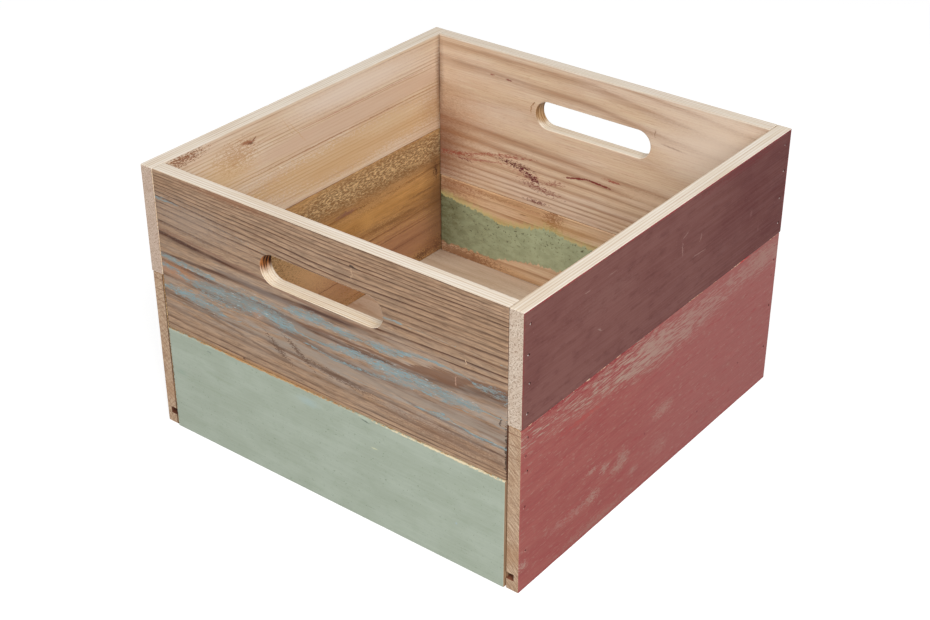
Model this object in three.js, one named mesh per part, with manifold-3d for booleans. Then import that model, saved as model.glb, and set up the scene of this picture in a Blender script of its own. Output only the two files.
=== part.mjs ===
// Kindling box: an open-topped crate of reclaimed boards that holds sticks and small logs by a stove.
// Each wall is two edge-glued boards. The side boards lap the ends of the front and back boards, and
// brads go through them into the end grain. A plywood floor is caught in a groove run round the inside.
// Millimetres, +Z up. The origin is on the ground under the middle of the box, whose front faces -Y.

import * as THREE from "three";
import { mergeVertices } from "three/addons/utils/BufferGeometryUtils.js";
import Module from "manifold-3d";

const wasm = await Module();
wasm.setup();

// The box. "Side" boards make the left and right walls, and "end" boards the front and back walls.
const boxWidth = 380; // over the outer faces of the upper side boards, along X
const boxDepth = 380; // length of the upper side boards, along Y
const boxHeight = 248; // ground to rim

// The boards
const boardThickness = 13;
const sideLowerBoardWidth = 150; // ground to the glue line in a side wall
const endLowerBoardWidth = 100; // ground to the glue line in the front and back walls
const sideLowerPlaned = 0.5; // taken off each face of a lower side board, which leaves a small step
const sideLowerShort = 0.6; // how far a lower side board stops short of the upper one at each end
const endLowerProud = 0.8; // how far a lower end board stands out past the upper one
const endLowerShort = 0.6; // how much wider than the butt gap the gap at each end of a lower end board is
const boardArris = 1; // radius on the long edges of the boards
const rimArris = 0.4; // radius along the rim, which was planed after gluing up
const arrisSteps = 3; // facets round each arris
const glueLine = 0.2; // between two edge-glued boards
const buttGap = 0.3; // between the end grain of an end board and the side board that laps it

// The hand slots in the upper end boards
const slotLength = 124;
const slotHeight = 27;
const slotDrop = 50; // rim to the slot's centre line
const slotEase = 0.8; // chamfer round both mouths
const slotSteps = 14; // facets round each end of a slot

// The floor and the groove that holds it
const floorThickness = 5;
const grooveLift = 10; // ground to the groove
const grooveDepth = 7;
const floorClearance = 0.3; // above and below the floor in its groove
const floorExpansion = 0.6; // between the floor's edge and the bottom of the groove

// The brads: flat wire with a T head and a chisel point
const bradLength = 30;
const bradWidth = 1.25; // of the wire, up the board
const bradWire = 1; // of the wire, across the head
const bradHeadWidth = 2;
const bradHeadThickness = 0.5;
const bradPointLength = 2;
const bradPointWidth = 0.3;
const bradSink = 0.6; // how far the head is driven below the face
const bradClearance = 0.3; // round the brad in its hole
const bradInset = 7.5; // middle of the row of brads to the end of the upper side board
const bradStagger = 1; // each brad's offset from that line, to one side and the other in turn

// The rows of brads up a corner, each with the distances of its first and last brad and its pitch
const upperBradEdge = 12;
const upperBradPitch = 25;
const middleBradEdge = 10;
const middleBradPitch = 15;
const footBradTop = 21; // below the glue line of the end boards
const footBradBottom = 37; // above the ground
const footBradPitch = 42;

// Heights and faces that follow from those sizes
const sideLowerThickness = boardThickness - 2 * sideLowerPlaned;
const sideLowerLength = boxDepth - 2 * sideLowerShort;
const sideUpperInnerX = boxWidth / 2 - boardThickness;
const sideLowerInnerX = sideUpperInnerX + sideLowerPlaned;
const endInnerY = boxDepth / 2 - boardThickness;
const endLength = 2 * (sideUpperInnerX - buttGap);
const endLowerLength = endLength - 2 * endLowerShort;
const endLowerThickness = boardThickness + endLowerProud;
const sideUpperBottom = sideLowerBoardWidth + glueLine / 2;
const sideLowerTop = sideLowerBoardWidth - glueLine / 2;
const endUpperBottom = endLowerBoardWidth + glueLine / 2;
const endLowerTop = endLowerBoardWidth - glueLine / 2;
const slotMiddle = boxHeight - slotDrop;
const grooveHeight = floorThickness + 2 * floorClearance;
const cutOverrun = 1; // how far a cutting shape runs past the face it opens

function finish(color, roughness, metalness = 0) {
  return new THREE.MeshStandardMaterial({ color, roughness, metalness });
}

const finishes = {
  weatheredPine: finish("#a08067", 0.85),
  mintPaint: finish("#a5b39f", 0.6),
  burgundyPaint: finish("#744a45", 0.45),
  redPaint: finish("#9b5d59", 0.6),
  barePine: finish("#cbad88", 0.7),
  ochrePine: finish("#b38f62", 0.75),
  plywood: finish("#bca68d", 0.75),
  bradSteel: finish("#8d8d89", 0.4, 1),
};

// A closed geometry as a solid for cutting and joining, and a solid back as a geometry
function toSolid(geometry) {
  const bare = geometry.clone();
  bare.deleteAttribute("normal");
  bare.deleteAttribute("uv");
  const merged = mergeVertices(bare, 1e-4);
  return new wasm.Manifold(
    new wasm.Mesh({
      numProp: 3,
      vertProperties: new Float32Array(merged.attributes.position.array),
      triVerts: new Uint32Array(merged.index.array),
    }),
  );
}

function toGeometry(solid) {
  const mesh = solid.getMesh();
  const geometry = new THREE.BufferGeometry();
  geometry.setAttribute("position", new THREE.BufferAttribute(mesh.vertProperties, mesh.numProp));
  geometry.setIndex(new THREE.BufferAttribute(mesh.triVerts, 1));
  geometry.computeVertexNormals();
  return geometry;
}

function extrude(shape, depth, curveSegments = arrisSteps) {
  return new THREE.ExtrudeGeometry(shape, { depth, curveSegments, bevelEnabled: false });
}

// A board's section: x runs from the inner face to the outer one, and y from the lower edge up.
// Its corners are rounded, and a groove may be run in its inner face.
function boardSection(thickness, bottom, top, bottomArris, topArris, grooved) {
  const section = new THREE.Shape();
  section.moveTo(bottomArris, bottom);
  section.lineTo(thickness - bottomArris, bottom);
  section.absarc(thickness - bottomArris, bottom + bottomArris, bottomArris, -Math.PI / 2, 0);
  section.lineTo(thickness, top - topArris);
  section.absarc(thickness - topArris, top - topArris, topArris, 0, Math.PI / 2);
  section.lineTo(topArris, top);
  section.absarc(topArris, top - topArris, topArris, Math.PI / 2, Math.PI);
  if (grooved) {
    section.lineTo(0, grooveLift + grooveHeight);
    section.lineTo(grooveDepth, grooveLift + grooveHeight);
    section.lineTo(grooveDepth, grooveLift);
    section.lineTo(0, grooveLift);
  }
  section.lineTo(0, bottom + bottomArris);
  section.absarc(bottomArris, bottom + bottomArris, bottomArris, Math.PI, 1.5 * Math.PI);
  return section;
}

// A side board of the right wall, its section run along Y with its inner face at innerX
function sideBoard(section, length, innerX) {
  const geometry = extrude(section, length);
  geometry.translate(innerX, 0, -length / 2);
  geometry.rotateX(Math.PI / 2);
  return toSolid(geometry);
}

// An end board of the front wall, its section run along X with its inner face at -endInnerY
function endBoard(section, length) {
  const geometry = extrude(section, length);
  geometry.translate(endInnerY, 0, -length / 2);
  const outerFaceToFront = new THREE.Matrix4().makeBasis(
    new THREE.Vector3(0, -1, 0),
    new THREE.Vector3(0, 0, 1),
    new THREE.Vector3(-1, 0, 0),
  );
  geometry.applyMatrix4(outerFaceToFront);
  return toSolid(geometry);
}

// The outline of a hand slot, a straight slot with round ends
function slotOutline() {
  const radius = slotHeight / 2;
  const straight = slotLength / 2 - radius;
  const outline = new THREE.Shape();
  outline.moveTo(-straight, -radius);
  outline.lineTo(straight, -radius);
  outline.absarc(straight, 0, radius, -Math.PI / 2, Math.PI / 2);
  outline.lineTo(-straight, radius);
  outline.absarc(-straight, 0, radius, Math.PI / 2, 1.5 * Math.PI);
  return outline;
}

// What is routed out of the front wall for a hand slot: the slot, and a chamfer at each mouth
function slotCutter() {
  const outline = slotOutline();
  const through = extrude(outline, boardThickness + 2 * cutOverrun, slotSteps);
  through.translate(0, 0, -cutOverrun);
  const mouth = {
    depth: cutOverrun,
    curveSegments: slotSteps,
    bevelEnabled: true,
    bevelSegments: 1,
    bevelThickness: slotEase,
    bevelSize: slotEase,
  };
  const innerMouth = new THREE.ExtrudeGeometry(outline, mouth);
  innerMouth.translate(0, 0, -cutOverrun);
  const outerMouth = new THREE.ExtrudeGeometry(outline, mouth);
  outerMouth.translate(0, 0, boardThickness);
  const cutter = toSolid(through).add(toSolid(innerMouth)).add(toSolid(outerMouth));
  return cutter.rotate([90, 0, 0]).translate([0, -endInnerY, slotMiddle]);
}

// A brad's silhouette, from its head at x = 0 to its point at x = -bradLength
function bradOutline() {
  const head = bradHeadWidth / 2;
  const wire = bradWidth / 2;
  const outline = new THREE.Shape();
  outline.moveTo(0, -head);
  outline.lineTo(0, head);
  outline.lineTo(-bradHeadThickness, head);
  outline.lineTo(-bradHeadThickness, wire);
  outline.lineTo(bradPointLength - bradLength, wire);
  outline.lineTo(-bradLength, bradPointWidth / 2);
  outline.lineTo(-bradLength, -bradPointWidth / 2);
  outline.lineTo(bradPointLength - bradLength, -wire);
  outline.lineTo(-bradHeadThickness, -wire);
  outline.lineTo(-bradHeadThickness, -head);
  return outline;
}

// The hole that a brad makes: its head's pocket, open at the face, and the straight hole of its wire
function bradHoleOutline() {
  const pocket = bradHeadWidth / 2 + bradClearance;
  const hole = bradWidth / 2 + bradClearance;
  const pocketFloor = -bradHeadThickness - bradClearance;
  const outline = new THREE.Shape();
  outline.moveTo(bradSink + cutOverrun, -pocket);
  outline.lineTo(bradSink + cutOverrun, pocket);
  outline.lineTo(pocketFloor, pocket);
  outline.lineTo(pocketFloor, hole);
  outline.lineTo(-bradLength - bradClearance, hole);
  outline.lineTo(-bradLength - bradClearance, -hole);
  outline.lineTo(pocketFloor, -hole);
  outline.lineTo(pocketFloor, -pocket);
  return outline;
}

// An outline drawn with x along the brad and y up the board, made as thick as given about Y = 0
function flatWire(outline, thickness) {
  const geometry = extrude(outline, thickness);
  geometry.translate(0, 0, -thickness / 2);
  geometry.rotateX(Math.PI / 2);
  return geometry;
}

// The heights of a row of brads from the lowest up, as many as the pitch allows and at least one
function bradRow(low, high, pitch) {
  const room = Math.max(0, high - low);
  const gaps = Math.round(room / pitch);
  if (gaps < 1) {
    return [(low + high) / 2];
  }
  return Array.from({ length: gaps + 1 }, (_, i) => low + (i * room) / gaps);
}

// The brads at one end of the right wall, from the ground up: endSign is -1 at the front and 1 at the back
function bradPlaces(endSign) {
  const foot = bradRow(footBradBottom, endLowerTop - footBradTop, footBradPitch);
  const middle = bradRow(endUpperBottom + middleBradEdge, sideLowerTop - middleBradEdge, middleBradPitch);
  const upper = bradRow(sideUpperBottom + upperBradEdge, boxHeight - upperBradEdge, upperBradPitch);
  return [...foot, ...middle, ...upper].map((height, i) => {
    const inUpperBoard = height > sideLowerBoardWidth;
    const faceX = inUpperBoard ? boxWidth / 2 : sideLowerInnerX + sideLowerThickness;
    const stagger = i % 2 ? bradStagger : -bradStagger;
    return [faceX - bradSink, endSign * (boxDepth / 2 - bradInset + stagger), height];
  });
}

function cutHoles(solid, places) {
  const hole = toSolid(flatWire(bradHoleOutline(), bradWire + 2 * bradClearance));
  let cut = solid;
  for (const place of places) {
    cut = cut.subtract(hole.translate(place));
  }
  return cut;
}

function namedMesh(name, geometry, material) {
  const mesh = new THREE.Mesh(geometry, material);
  mesh.name = name;
  return mesh;
}

// Every brad of the box as seen from its right and front walls. The other two walls are the same
// boards turned half a circle, so these places serve both halves.
const rightFrontBrads = bradPlaces(-1);
const rightBackBrads = bradPlaces(1);
const rightBrads = [...rightFrontBrads, ...rightBackBrads];

function holesFor(solid) {
  // The left end of the front wall is nailed from the left: its holes are the right back ones, turned.
  const fromTheRight = cutHoles(solid, rightFrontBrads);
  const turned = fromTheRight.rotate([0, 0, 180]);
  const fromTheLeft = cutHoles(turned, rightBackBrads);
  return fromTheLeft.rotate([0, 0, -180]);
}

// The four boards of the right and front walls
function sideUpperBoard() {
  const section = boardSection(boardThickness, sideUpperBottom, boxHeight, boardArris, rimArris, false);
  return toGeometry(cutHoles(sideBoard(section, boxDepth, sideUpperInnerX), rightBrads));
}

function sideLowerBoard() {
  const section = boardSection(sideLowerThickness, 0, sideLowerTop, boardArris, boardArris, true);
  return toGeometry(cutHoles(sideBoard(section, sideLowerLength, sideLowerInnerX), rightBrads));
}

function endUpperBoard() {
  const section = boardSection(boardThickness, endUpperBottom, boxHeight, boardArris, rimArris, false);
  return toGeometry(holesFor(endBoard(section, endLength).subtract(slotCutter())));
}

function endLowerBoard() {
  const section = boardSection(endLowerThickness, 0, endLowerTop, boardArris, boardArris, true);
  return toGeometry(holesFor(endBoard(section, endLowerLength)));
}

// The floor, which reaches into the grooves of all four walls
function floorPanel() {
  const reach = grooveDepth - floorExpansion;
  const panel = new THREE.BoxGeometry(
    2 * (sideLowerInnerX + reach),
    2 * (endInnerY + reach),
    floorThickness,
  );
  panel.translate(0, 0, grooveLift + floorClearance + floorThickness / 2);
  return panel;
}

const box = new THREE.Group();

const halves = [
  {
    turn: 0,
    side: "right",
    end: "front",
    sideFinishes: [finishes.burgundyPaint, finishes.redPaint],
    endFinishes: [finishes.weatheredPine, finishes.mintPaint],
    corners: { front_right: rightFrontBrads, back_right: rightBackBrads },
  },
  {
    turn: Math.PI,
    side: "left",
    end: "back",
    sideFinishes: [finishes.barePine, finishes.ochrePine],
    endFinishes: [finishes.barePine, finishes.ochrePine],
    corners: { back_left: rightFrontBrads, front_left: rightBackBrads },
  },
];

for (const { turn, side, end, sideFinishes, endFinishes, corners } of halves) {
  const half = new THREE.Group();
  half.rotation.z = turn;
  half.add(namedMesh(`${side}_upper_board`, sideUpperBoard(), sideFinishes[0]));
  half.add(namedMesh(`${side}_lower_board`, sideLowerBoard(), sideFinishes[1]));
  half.add(namedMesh(`${end}_upper_board`, endUpperBoard(), endFinishes[0]));
  half.add(namedMesh(`${end}_lower_board`, endLowerBoard(), endFinishes[1]));
  for (const [corner, places] of Object.entries(corners)) {
    places.forEach((place, i) => {
      const brad = namedMesh(
        `brad_${corner}_${i + 1}`,
        flatWire(bradOutline(), bradWire),
        finishes.bradSteel,
      );
      brad.position.set(...place);
      half.add(brad);
    });
  }
  box.add(half);
}

box.add(namedMesh("floor_panel", floorPanel(), finishes.plywood));

export default box;
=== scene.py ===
import math
import bmesh
import bpy
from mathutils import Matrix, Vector, noise


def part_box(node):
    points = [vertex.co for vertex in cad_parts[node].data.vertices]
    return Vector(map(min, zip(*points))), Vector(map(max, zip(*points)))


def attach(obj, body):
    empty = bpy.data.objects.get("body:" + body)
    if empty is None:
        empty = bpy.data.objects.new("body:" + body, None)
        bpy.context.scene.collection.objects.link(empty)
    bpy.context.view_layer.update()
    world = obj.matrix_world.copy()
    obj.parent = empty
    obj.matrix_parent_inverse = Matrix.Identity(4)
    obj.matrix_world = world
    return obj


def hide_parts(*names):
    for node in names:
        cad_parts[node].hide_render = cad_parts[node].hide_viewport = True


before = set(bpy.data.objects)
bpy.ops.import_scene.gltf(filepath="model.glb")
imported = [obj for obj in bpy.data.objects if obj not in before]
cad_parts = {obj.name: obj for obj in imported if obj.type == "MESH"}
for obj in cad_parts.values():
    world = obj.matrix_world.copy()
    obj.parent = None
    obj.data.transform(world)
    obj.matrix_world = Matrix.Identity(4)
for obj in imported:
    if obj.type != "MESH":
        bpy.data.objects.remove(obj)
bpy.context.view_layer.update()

mm = 0.001
print("frame loaded:", len(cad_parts), "nodes")


def hexColor(code):
    # sRGB hex to the linear colour that a shader wants
    channels = [int(code[i:i + 2], 16) / 255 for i in (1, 3, 5)]
    return [c / 12.92 if c <= 0.04045 else ((c + 0.055) / 1.055) ** 2.4 for c in channels] + [1]


def addNode(tree, kind, inputs=None, out=0, stops=None, points=None, **settings):
    node = tree.nodes.new("ShaderNode" + kind)
    for name, value in settings.items():
        setattr(node, name, value)
    for name, value in (inputs or {}).items():
        if isinstance(value, bpy.types.NodeSocket):
            tree.links.new(value, node.inputs[name])
        else:
            node.inputs[name].default_value = value
    if stops:
        elements = node.color_ramp.elements
        for i, (place, level) in enumerate(stops):
            element = elements[i] if i < 2 else elements.new(place)
            element.position = place
            element.color = (level, level, level, 1)
    if points:
        curve = node.mapping.curves[0]
        curve.points[0].location = points[0]
        curve.points[1].location = points[-1]
        for x, y in points[1:-1]:
            curve.points.new(x, y)
        for point in curve.points:
            point.handle_type = "VECTOR"
        node.mapping.update()
    return node.outputs[out] if node.outputs else node


# The camera stands where the photograph was taken from, found from the box's own corners
cameraPlace = {
    "eye": (0.74756, -0.97527, 0.82519),
    "looks": (-0.525989, 0.678625, -0.512644),
    "lens": 63.96,
}
stagePlace = {"size": 14, "color": "#bcbcbc", "lift": 0.66}
lightPlace = {
    "worldStrength": 0.34,
    "key": {"at": (1.6, -1.65, 2.0), "size": 1.8, "power": 96},
    "fill": {"at": (-2.0, -1.0, 2.0), "size": 1.8, "power": 6},
}


def makeCamera(place):
    camera = bpy.data.cameras.new("camera")
    camera.lens = place["lens"]
    camera.sensor_width = 36
    camera.clip_start = 0.01
    holder = bpy.data.objects.new("camera", camera)
    holder.location = place["eye"]
    holder.rotation_euler = Vector(place["looks"]).to_track_quat("-Z", "Y").to_euler()
    bpy.context.scene.collection.objects.link(holder)
    bpy.context.scene.camera = holder


def backgroundRays(tree):
    # 1 for the rays that show the background: the camera's own, and those that gloss or glass send on
    rays = addNode(tree, "LightPath").node.outputs
    glossy = addNode(tree, "Math", {0: rays["Is Camera Ray"], 1: rays["Is Glossy Ray"]}, operation="MAXIMUM")
    return addNode(tree, "Math", {0: glossy, 1: rays["Is Transmission Ray"]}, operation="MAXIMUM")


def makeStage(place):
    # A sheet of white studio paper; it glows a little for the camera, so that only the shadow shows
    half = place["size"] / 2
    mesh = bpy.data.meshes.new("studio_floor")
    corners = [(-half, -half, 0), (half, -half, 0), (half, half, 0), (-half, half, 0)]
    mesh.from_pydata(corners, [], [(0, 1, 2, 3)])
    floor = bpy.data.objects.new("studio_floor", mesh)
    bpy.context.scene.collection.objects.link(floor)
    paper = bpy.data.materials.new("studioPaper")
    paper.use_nodes = True
    tree = paper.node_tree
    tree.nodes.clear()
    color = hexColor(place["color"])
    matt = addNode(tree, "BsdfDiffuse", {"Color": color})
    strength = addNode(tree, "Math", {0: backgroundRays(tree), 1: place["lift"]}, operation="MULTIPLY")
    glow = addNode(tree, "Emission", {"Color": (1, 1, 1, 1), "Strength": strength})
    both = addNode(tree, "AddShader", {0: matt, 1: glow})
    addNode(tree, "OutputMaterial", {"Surface": both})
    mesh.materials.append(paper)


def makeLights(place):
    world = bpy.data.worlds.new("studio")
    bpy.context.scene.world = world
    world.use_nodes = True
    tree = world.node_tree
    tree.nodes.clear()
    strength = addNode(tree, "MapRange", {0: backgroundRays(tree), 3: place["worldStrength"], 4: 1})
    sky = addNode(tree, "Background", {"Color": (1, 1, 1, 1), "Strength": strength})
    addNode(tree, "OutputWorld", {"Surface": sky})
    for name in ("key", "fill"):
        lamp = bpy.data.lights.new(name, "AREA")
        lamp.size = place[name]["size"]
        lamp.energy = place[name]["power"]
        holder = bpy.data.objects.new(name, lamp)
        holder.location = place[name]["at"]
        aim = Vector((0, 0, 0.1)) - holder.location
        holder.rotation_euler = aim.to_track_quat("-Z", "Y").to_euler()
        bpy.context.scene.collection.objects.link(holder)
    view = bpy.context.scene.view_settings
    view.view_transform = "Standard"


makeCamera(cameraPlace)
makeStage(stagePlace)
makeLights(lightPlace)
print("camera, floor and lights stand")


# Patterns that a board's finish is made of. A space holds a face's own coordinates in millimetres, and a
# pattern's size is in millimetres along the grain, up the face and through the board.

def boardSpace(tree, lie):
    # lie names the axes that run along the grain, across it up the face, and through the board
    place = addNode(tree, "TexCoord", out="Object")
    inMm = addNode(tree, "VectorMath", {0: place, "Scale": 1 / mm}, operation="SCALE")
    axes = addNode(tree, "SeparateXYZ", {0: inMm}).node.outputs
    along, across, through = (axes["XYZ".index(axis)] for axis in lie)
    grain = addNode(tree, "CombineXYZ", {0: along, 1: across, 2: through})
    return {"along": along, "across": across, "through": through, "grain": grain}


def streaks(tree, space, size, seed=0, detail=2, roughness=0.5):
    # Noise whose lumps are size millimetres long, high and deep
    scale = [1 / s for s in size]
    place = addNode(tree, "Mapping", {0: space["grain"], 1: (seed * 7.3, seed * 3.1, seed * 5.7), 3: scale})
    return addNode(tree, "TexNoise", {0: place, "Scale": 1, "Detail": detail, "Roughness": roughness})


def roughen(tree, space, size, reach, seed=0):
    # The same space with its points pushed about, for ragged edges
    scale = [1 / s for s in size]
    place = addNode(tree, "Mapping", {0: space["grain"], 1: (seed * 4.1, seed * 2.3, 0), 3: scale})
    push = addNode(tree, "TexNoise", {0: place, "Scale": 1, "Detail": 3, "Roughness": 0.6}, out=1)
    centred = addNode(tree, "VectorMath", {0: push, 1: (0.5, 0.5, 0.5)}, operation="SUBTRACT")
    grain = addNode(tree, "VectorMath", {0: centred, 1: reach, 2: space["grain"]}, operation="MULTIPLY_ADD")
    axes = addNode(tree, "SeparateXYZ", {0: grain}).node.outputs
    return {"along": axes[0], "across": axes[1], "through": axes[2], "grain": grain}


def curveOf(tree, value, points):
    # A curve through the given points, in real units both ways
    xs = [x for x, y in points]
    ys = [y for x, y in points]
    lowX, highX, lowY, highY = min(xs), max(xs), min(ys), max(ys)
    spanX, spanY = highX - lowX, (highY - lowY) or 1
    shares = sorted(((x - lowX) / spanX, (y - lowY) / spanY) for x, y in points)
    share = addNode(tree, "MapRange", {0: value, 1: lowX, 2: highX})
    curve = addNode(tree, "FloatCurve", {1: share}, points=shares)
    return addNode(tree, "MapRange", {0: curve, 3: lowY, 4: lowY + spanY})


def bandOf(tree, space, points):
    # 1 on a band's middle line and 0 at its edges; the points are (along, middle, half width)
    middle = curveOf(tree, space["along"], [(along, height) for along, height, half in points])
    half = curveOf(tree, space["along"], [(along, half) for along, height, half in points])
    off = addNode(tree, "Math", {0: space["across"], 1: middle}, operation="SUBTRACT")
    size = addNode(tree, "Math", {0: off}, operation="ABSOLUTE")
    share = addNode(tree, "Math", {0: size, 1: half}, operation="DIVIDE")
    return addNode(tree, "Math", {0: 1, 1: share}, operation="SUBTRACT", use_clamp=True)


def nearEdges(tree, space, edges):
    # 1 on each edge and 0 at its reach, which is negative where the face lies below the edge
    near = None
    for axis, place, reach in edges:
        off = addNode(tree, "Math", {0: space[axis], 1: place}, operation="SUBTRACT")
        fall = addNode(tree, "MapRange", {0: off, 1: 0, 2: reach, 3: 1, 4: 0})
        near = addNode(tree, "Math", {0: near, 1: fall}, operation="MAXIMUM") if near else fall
    return near


def patches(tree, space, size, low, high, seed, detail=2, roughness=0.5):
    # Lumps of that size with soft edges: 0 where the noise is under low and 1 where it is over high
    lumps = streaks(tree, space, size, seed, detail, roughness)
    return addNode(tree, "MapRange", {0: lumps, 1: low, 2: high}, interpolation_type="SMOOTHSTEP")


# Pattern sizes in softwood: millimetres along the grain, up the face and through the board. Real fibres and
# pores are a few hundredths of a millimetre wide, and are drawn near 1 mm wide so that they show.
softwoodSizes = {
    "bends": (90, 16, 30), "kinks": (14, 5, 30), "fading": (60, 5, 30), "tone": (110, 20, 40),
    "pores": (9, 0.9, 0.9),
}
# What every softwood shares, unless its own dictionary says otherwise. The heart is the number of the growth
# line at the tree's middle, far below the board by default. The profile gives how dark a ring is at each
# share of its width, its two ends first.
softwoodLook = {
    "fibreSize": (60, 0.9, 0.9), "pores": 0.25, "ridge": 0.02, "fuzz": 0.02, "fade": 0.7, "heart": -99.5,
    "knots": [], "profile": [(0, 0.2), (1, 0.25), (0.3, 0), (0.6, 0.12), (0.8, 0.75), (0.94, 1)],
}
knotReach = {"alongGrain": 3.5, "end": 1.6, "push": 0.75}  # in knot radiuses, and how far the rings give way


def ringNumber(tree, space, look):
    # Counts the growth rings up the face, from the heights of the lines at the board's ends and middle
    across = space["across"]
    for along, height, radius in look["knots"]:
        size = (radius * knotReach["alongGrain"], radius, 1e6)
        place = {0: space["grain"], 1: (along, height, 0), 3: size}
        off = addNode(tree, "VectorMath", {0: addNode(tree, "Mapping", place, vector_type="TEXTURE")},
                      out="Value", operation="LENGTH")
        fall = addNode(tree, "MapRange", {0: off, 1: 0, 2: knotReach["end"], 3: knotReach["push"], 4: 0},
                       interpolation_type="SMOOTHSTEP")
        side = addNode(tree, "Math", {0: across, 1: height}, operation="SUBTRACT")
        push = addNode(tree, "Math", {0: side, 1: fall}, operation="MULTIPLY")
        across = addNode(tree, "Math", {0: across, 1: push}, operation="SUBTRACT")
    bends = streaks(tree, space, softwoodSizes["bends"], look["seed"], 1)
    kinks = streaks(tree, space, softwoodSizes["kinks"], look["seed"] + 1, 1)
    both = addNode(tree, "Math", {0: kinks, 1: 0.3, 2: bends}, operation="MULTIPLY_ADD")
    across = addNode(tree, "Math", {0: both, 1: look["waver"], 2: across}, operation="MULTIPLY_ADD")
    # both patterns together are 0.65 on average, which is taken off again
    across = addNode(tree, "Math", {0: across, 1: 0.65 * look["waver"]}, operation="SUBTRACT")
    if "pitch" in look:
        return addNode(tree, "Math", {0: across, 1: look["pitch"]}, operation="DIVIDE")
    stations = [[(line[side], i) for i, line in enumerate(look["lines"])] for side in range(3)]
    left, middle, right = (curveOf(tree, across, heights) for heights in stations)
    toLeft = curveOf(tree, space["along"], look["toLeft"])
    toRight = curveOf(tree, space["along"], look["toRight"])
    leftward = addNode(tree, "Mix", {0: toLeft, 2: middle, 3: left})
    return addNode(tree, "Mix", {0: toRight, 2: leftward, 3: right})


def growthRings(tree, space, look):
    # How dark the late wood is: each ring darkens outwards from the heart and ends in a crisp line
    number = ringNumber(tree, space, look)
    fromHeart = addNode(tree, "Math", {0: number, 1: look["heart"]}, operation="SUBTRACT")
    outward = addNode(tree, "Math", {0: fromHeart}, operation="ABSOLUTE")
    half = addNode(tree, "Math", {0: outward, 1: 0.5}, operation="ADD")
    part = addNode(tree, "Math", {0: half}, operation="FRACT")
    dark = addNode(tree, "ValToRGB", {0: part}, stops=look["profile"])
    if "lines" in look:
        strength = curveOf(tree, number, [(i, line[3]) for i, line in enumerate(look["lines"])])
    else:
        whole = addNode(tree, "Math", {0: half}, operation="FLOOR")
        chance = addNode(tree, "TexWhiteNoise", {1: whole}, noise_dimensions="1D")
        strength = addNode(tree, "MapRange", {0: chance, 3: 0.35, 4: 1})
    fading = streaks(tree, space, softwoodSizes["fading"], look["seed"] + 2, 2)
    uneven = addNode(tree, "MapRange", {0: fading, 1: 0.35, 2: 0.6, 3: look["fade"], 4: 1.05})
    level = addNode(tree, "Math", {0: dark, 1: strength}, operation="MULTIPLY")
    return addNode(tree, "Math", {0: level, 1: uneven}, operation="MULTIPLY", use_clamp=True)


def woodSurface(tree, space, ownLook):
    # Bare softwood: growth rings, a slow drift of tone along the board, and fine fibre
    look = {**softwoodLook, **ownLook}
    late = growthRings(tree, space, look)
    tone = patches(tree, space, softwoodSizes["tone"], 0.35, 0.65, look["seed"] + 5)
    early = addNode(tree, "Mix", {0: tone, 6: hexColor(look["early"]), 7: hexColor(look["tone"])},
                    out=2, data_type="RGBA")
    color = addNode(tree, "Mix", {0: late, 6: early, 7: hexColor(look["late"])}, out=2, data_type="RGBA")
    fibre = patches(tree, space, look["fibreSize"], 0.34, 0.66, look["seed"] + 8, 2, 0.6)
    color = addNode(tree, "Mix", {0: look["fibre"], 6: color, 7: fibre}, out=2, data_type="RGBA",
                    blend_type="OVERLAY")
    pores = patches(tree, space, softwoodSizes["pores"], 0.56, 0.68, look["seed"] + 10, 2, 0.6)
    darker = addNode(tree, "Math", {0: pores, 1: look["pores"]}, operation="MULTIPLY")
    color = addNode(tree, "Mix", {0: darker, 6: color, 7: hexColor(look["late"])}, out=2, data_type="RGBA")
    raised = addNode(tree, "Math", {0: late, 1: look["ridge"]}, operation="MULTIPLY")
    height = addNode(tree, "Math", {0: fibre, 1: look["fuzz"], 2: raised}, operation="MULTIPLY_ADD")
    rough = addNode(tree, "MapRange", {0: fibre, 3: look["rough"] - 0.06, 4: look["rough"] + 0.06})
    return {"color": color, "rough": rough, "height": height, "late": late}


def layOver(tree, under, over, mask, thickness=0):
    # One coat over another where the mask is 1
    color = addNode(tree, "Mix", {0: mask, 6: under["color"], 7: over["color"]}, out=2, data_type="RGBA")
    rough = addNode(tree, "Mix", {0: mask, 2: under["rough"], 3: over["rough"]})
    top = addNode(tree, "Math", {0: over["height"], 1: thickness}, operation="ADD")
    height = addNode(tree, "Mix", {0: mask, 2: under["height"], 3: top})
    return {"color": color, "rough": rough, "height": height}


markEdge = {"lumps": (7, 2.5, 9), "reach": (5, 1.6, 0), "grit": (2.6, 0.9, 2)}  # in millimetres
# What every mark shares unless it says otherwise. At and half are along and across the board, in millimetres;
# soft is how wide its edge is, as a share of its half sizes, and grit is how ragged that edge is.
markLook = {"tilt": 0, "strength": 0.8, "soft": 0.5, "grit": 0.4}


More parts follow.
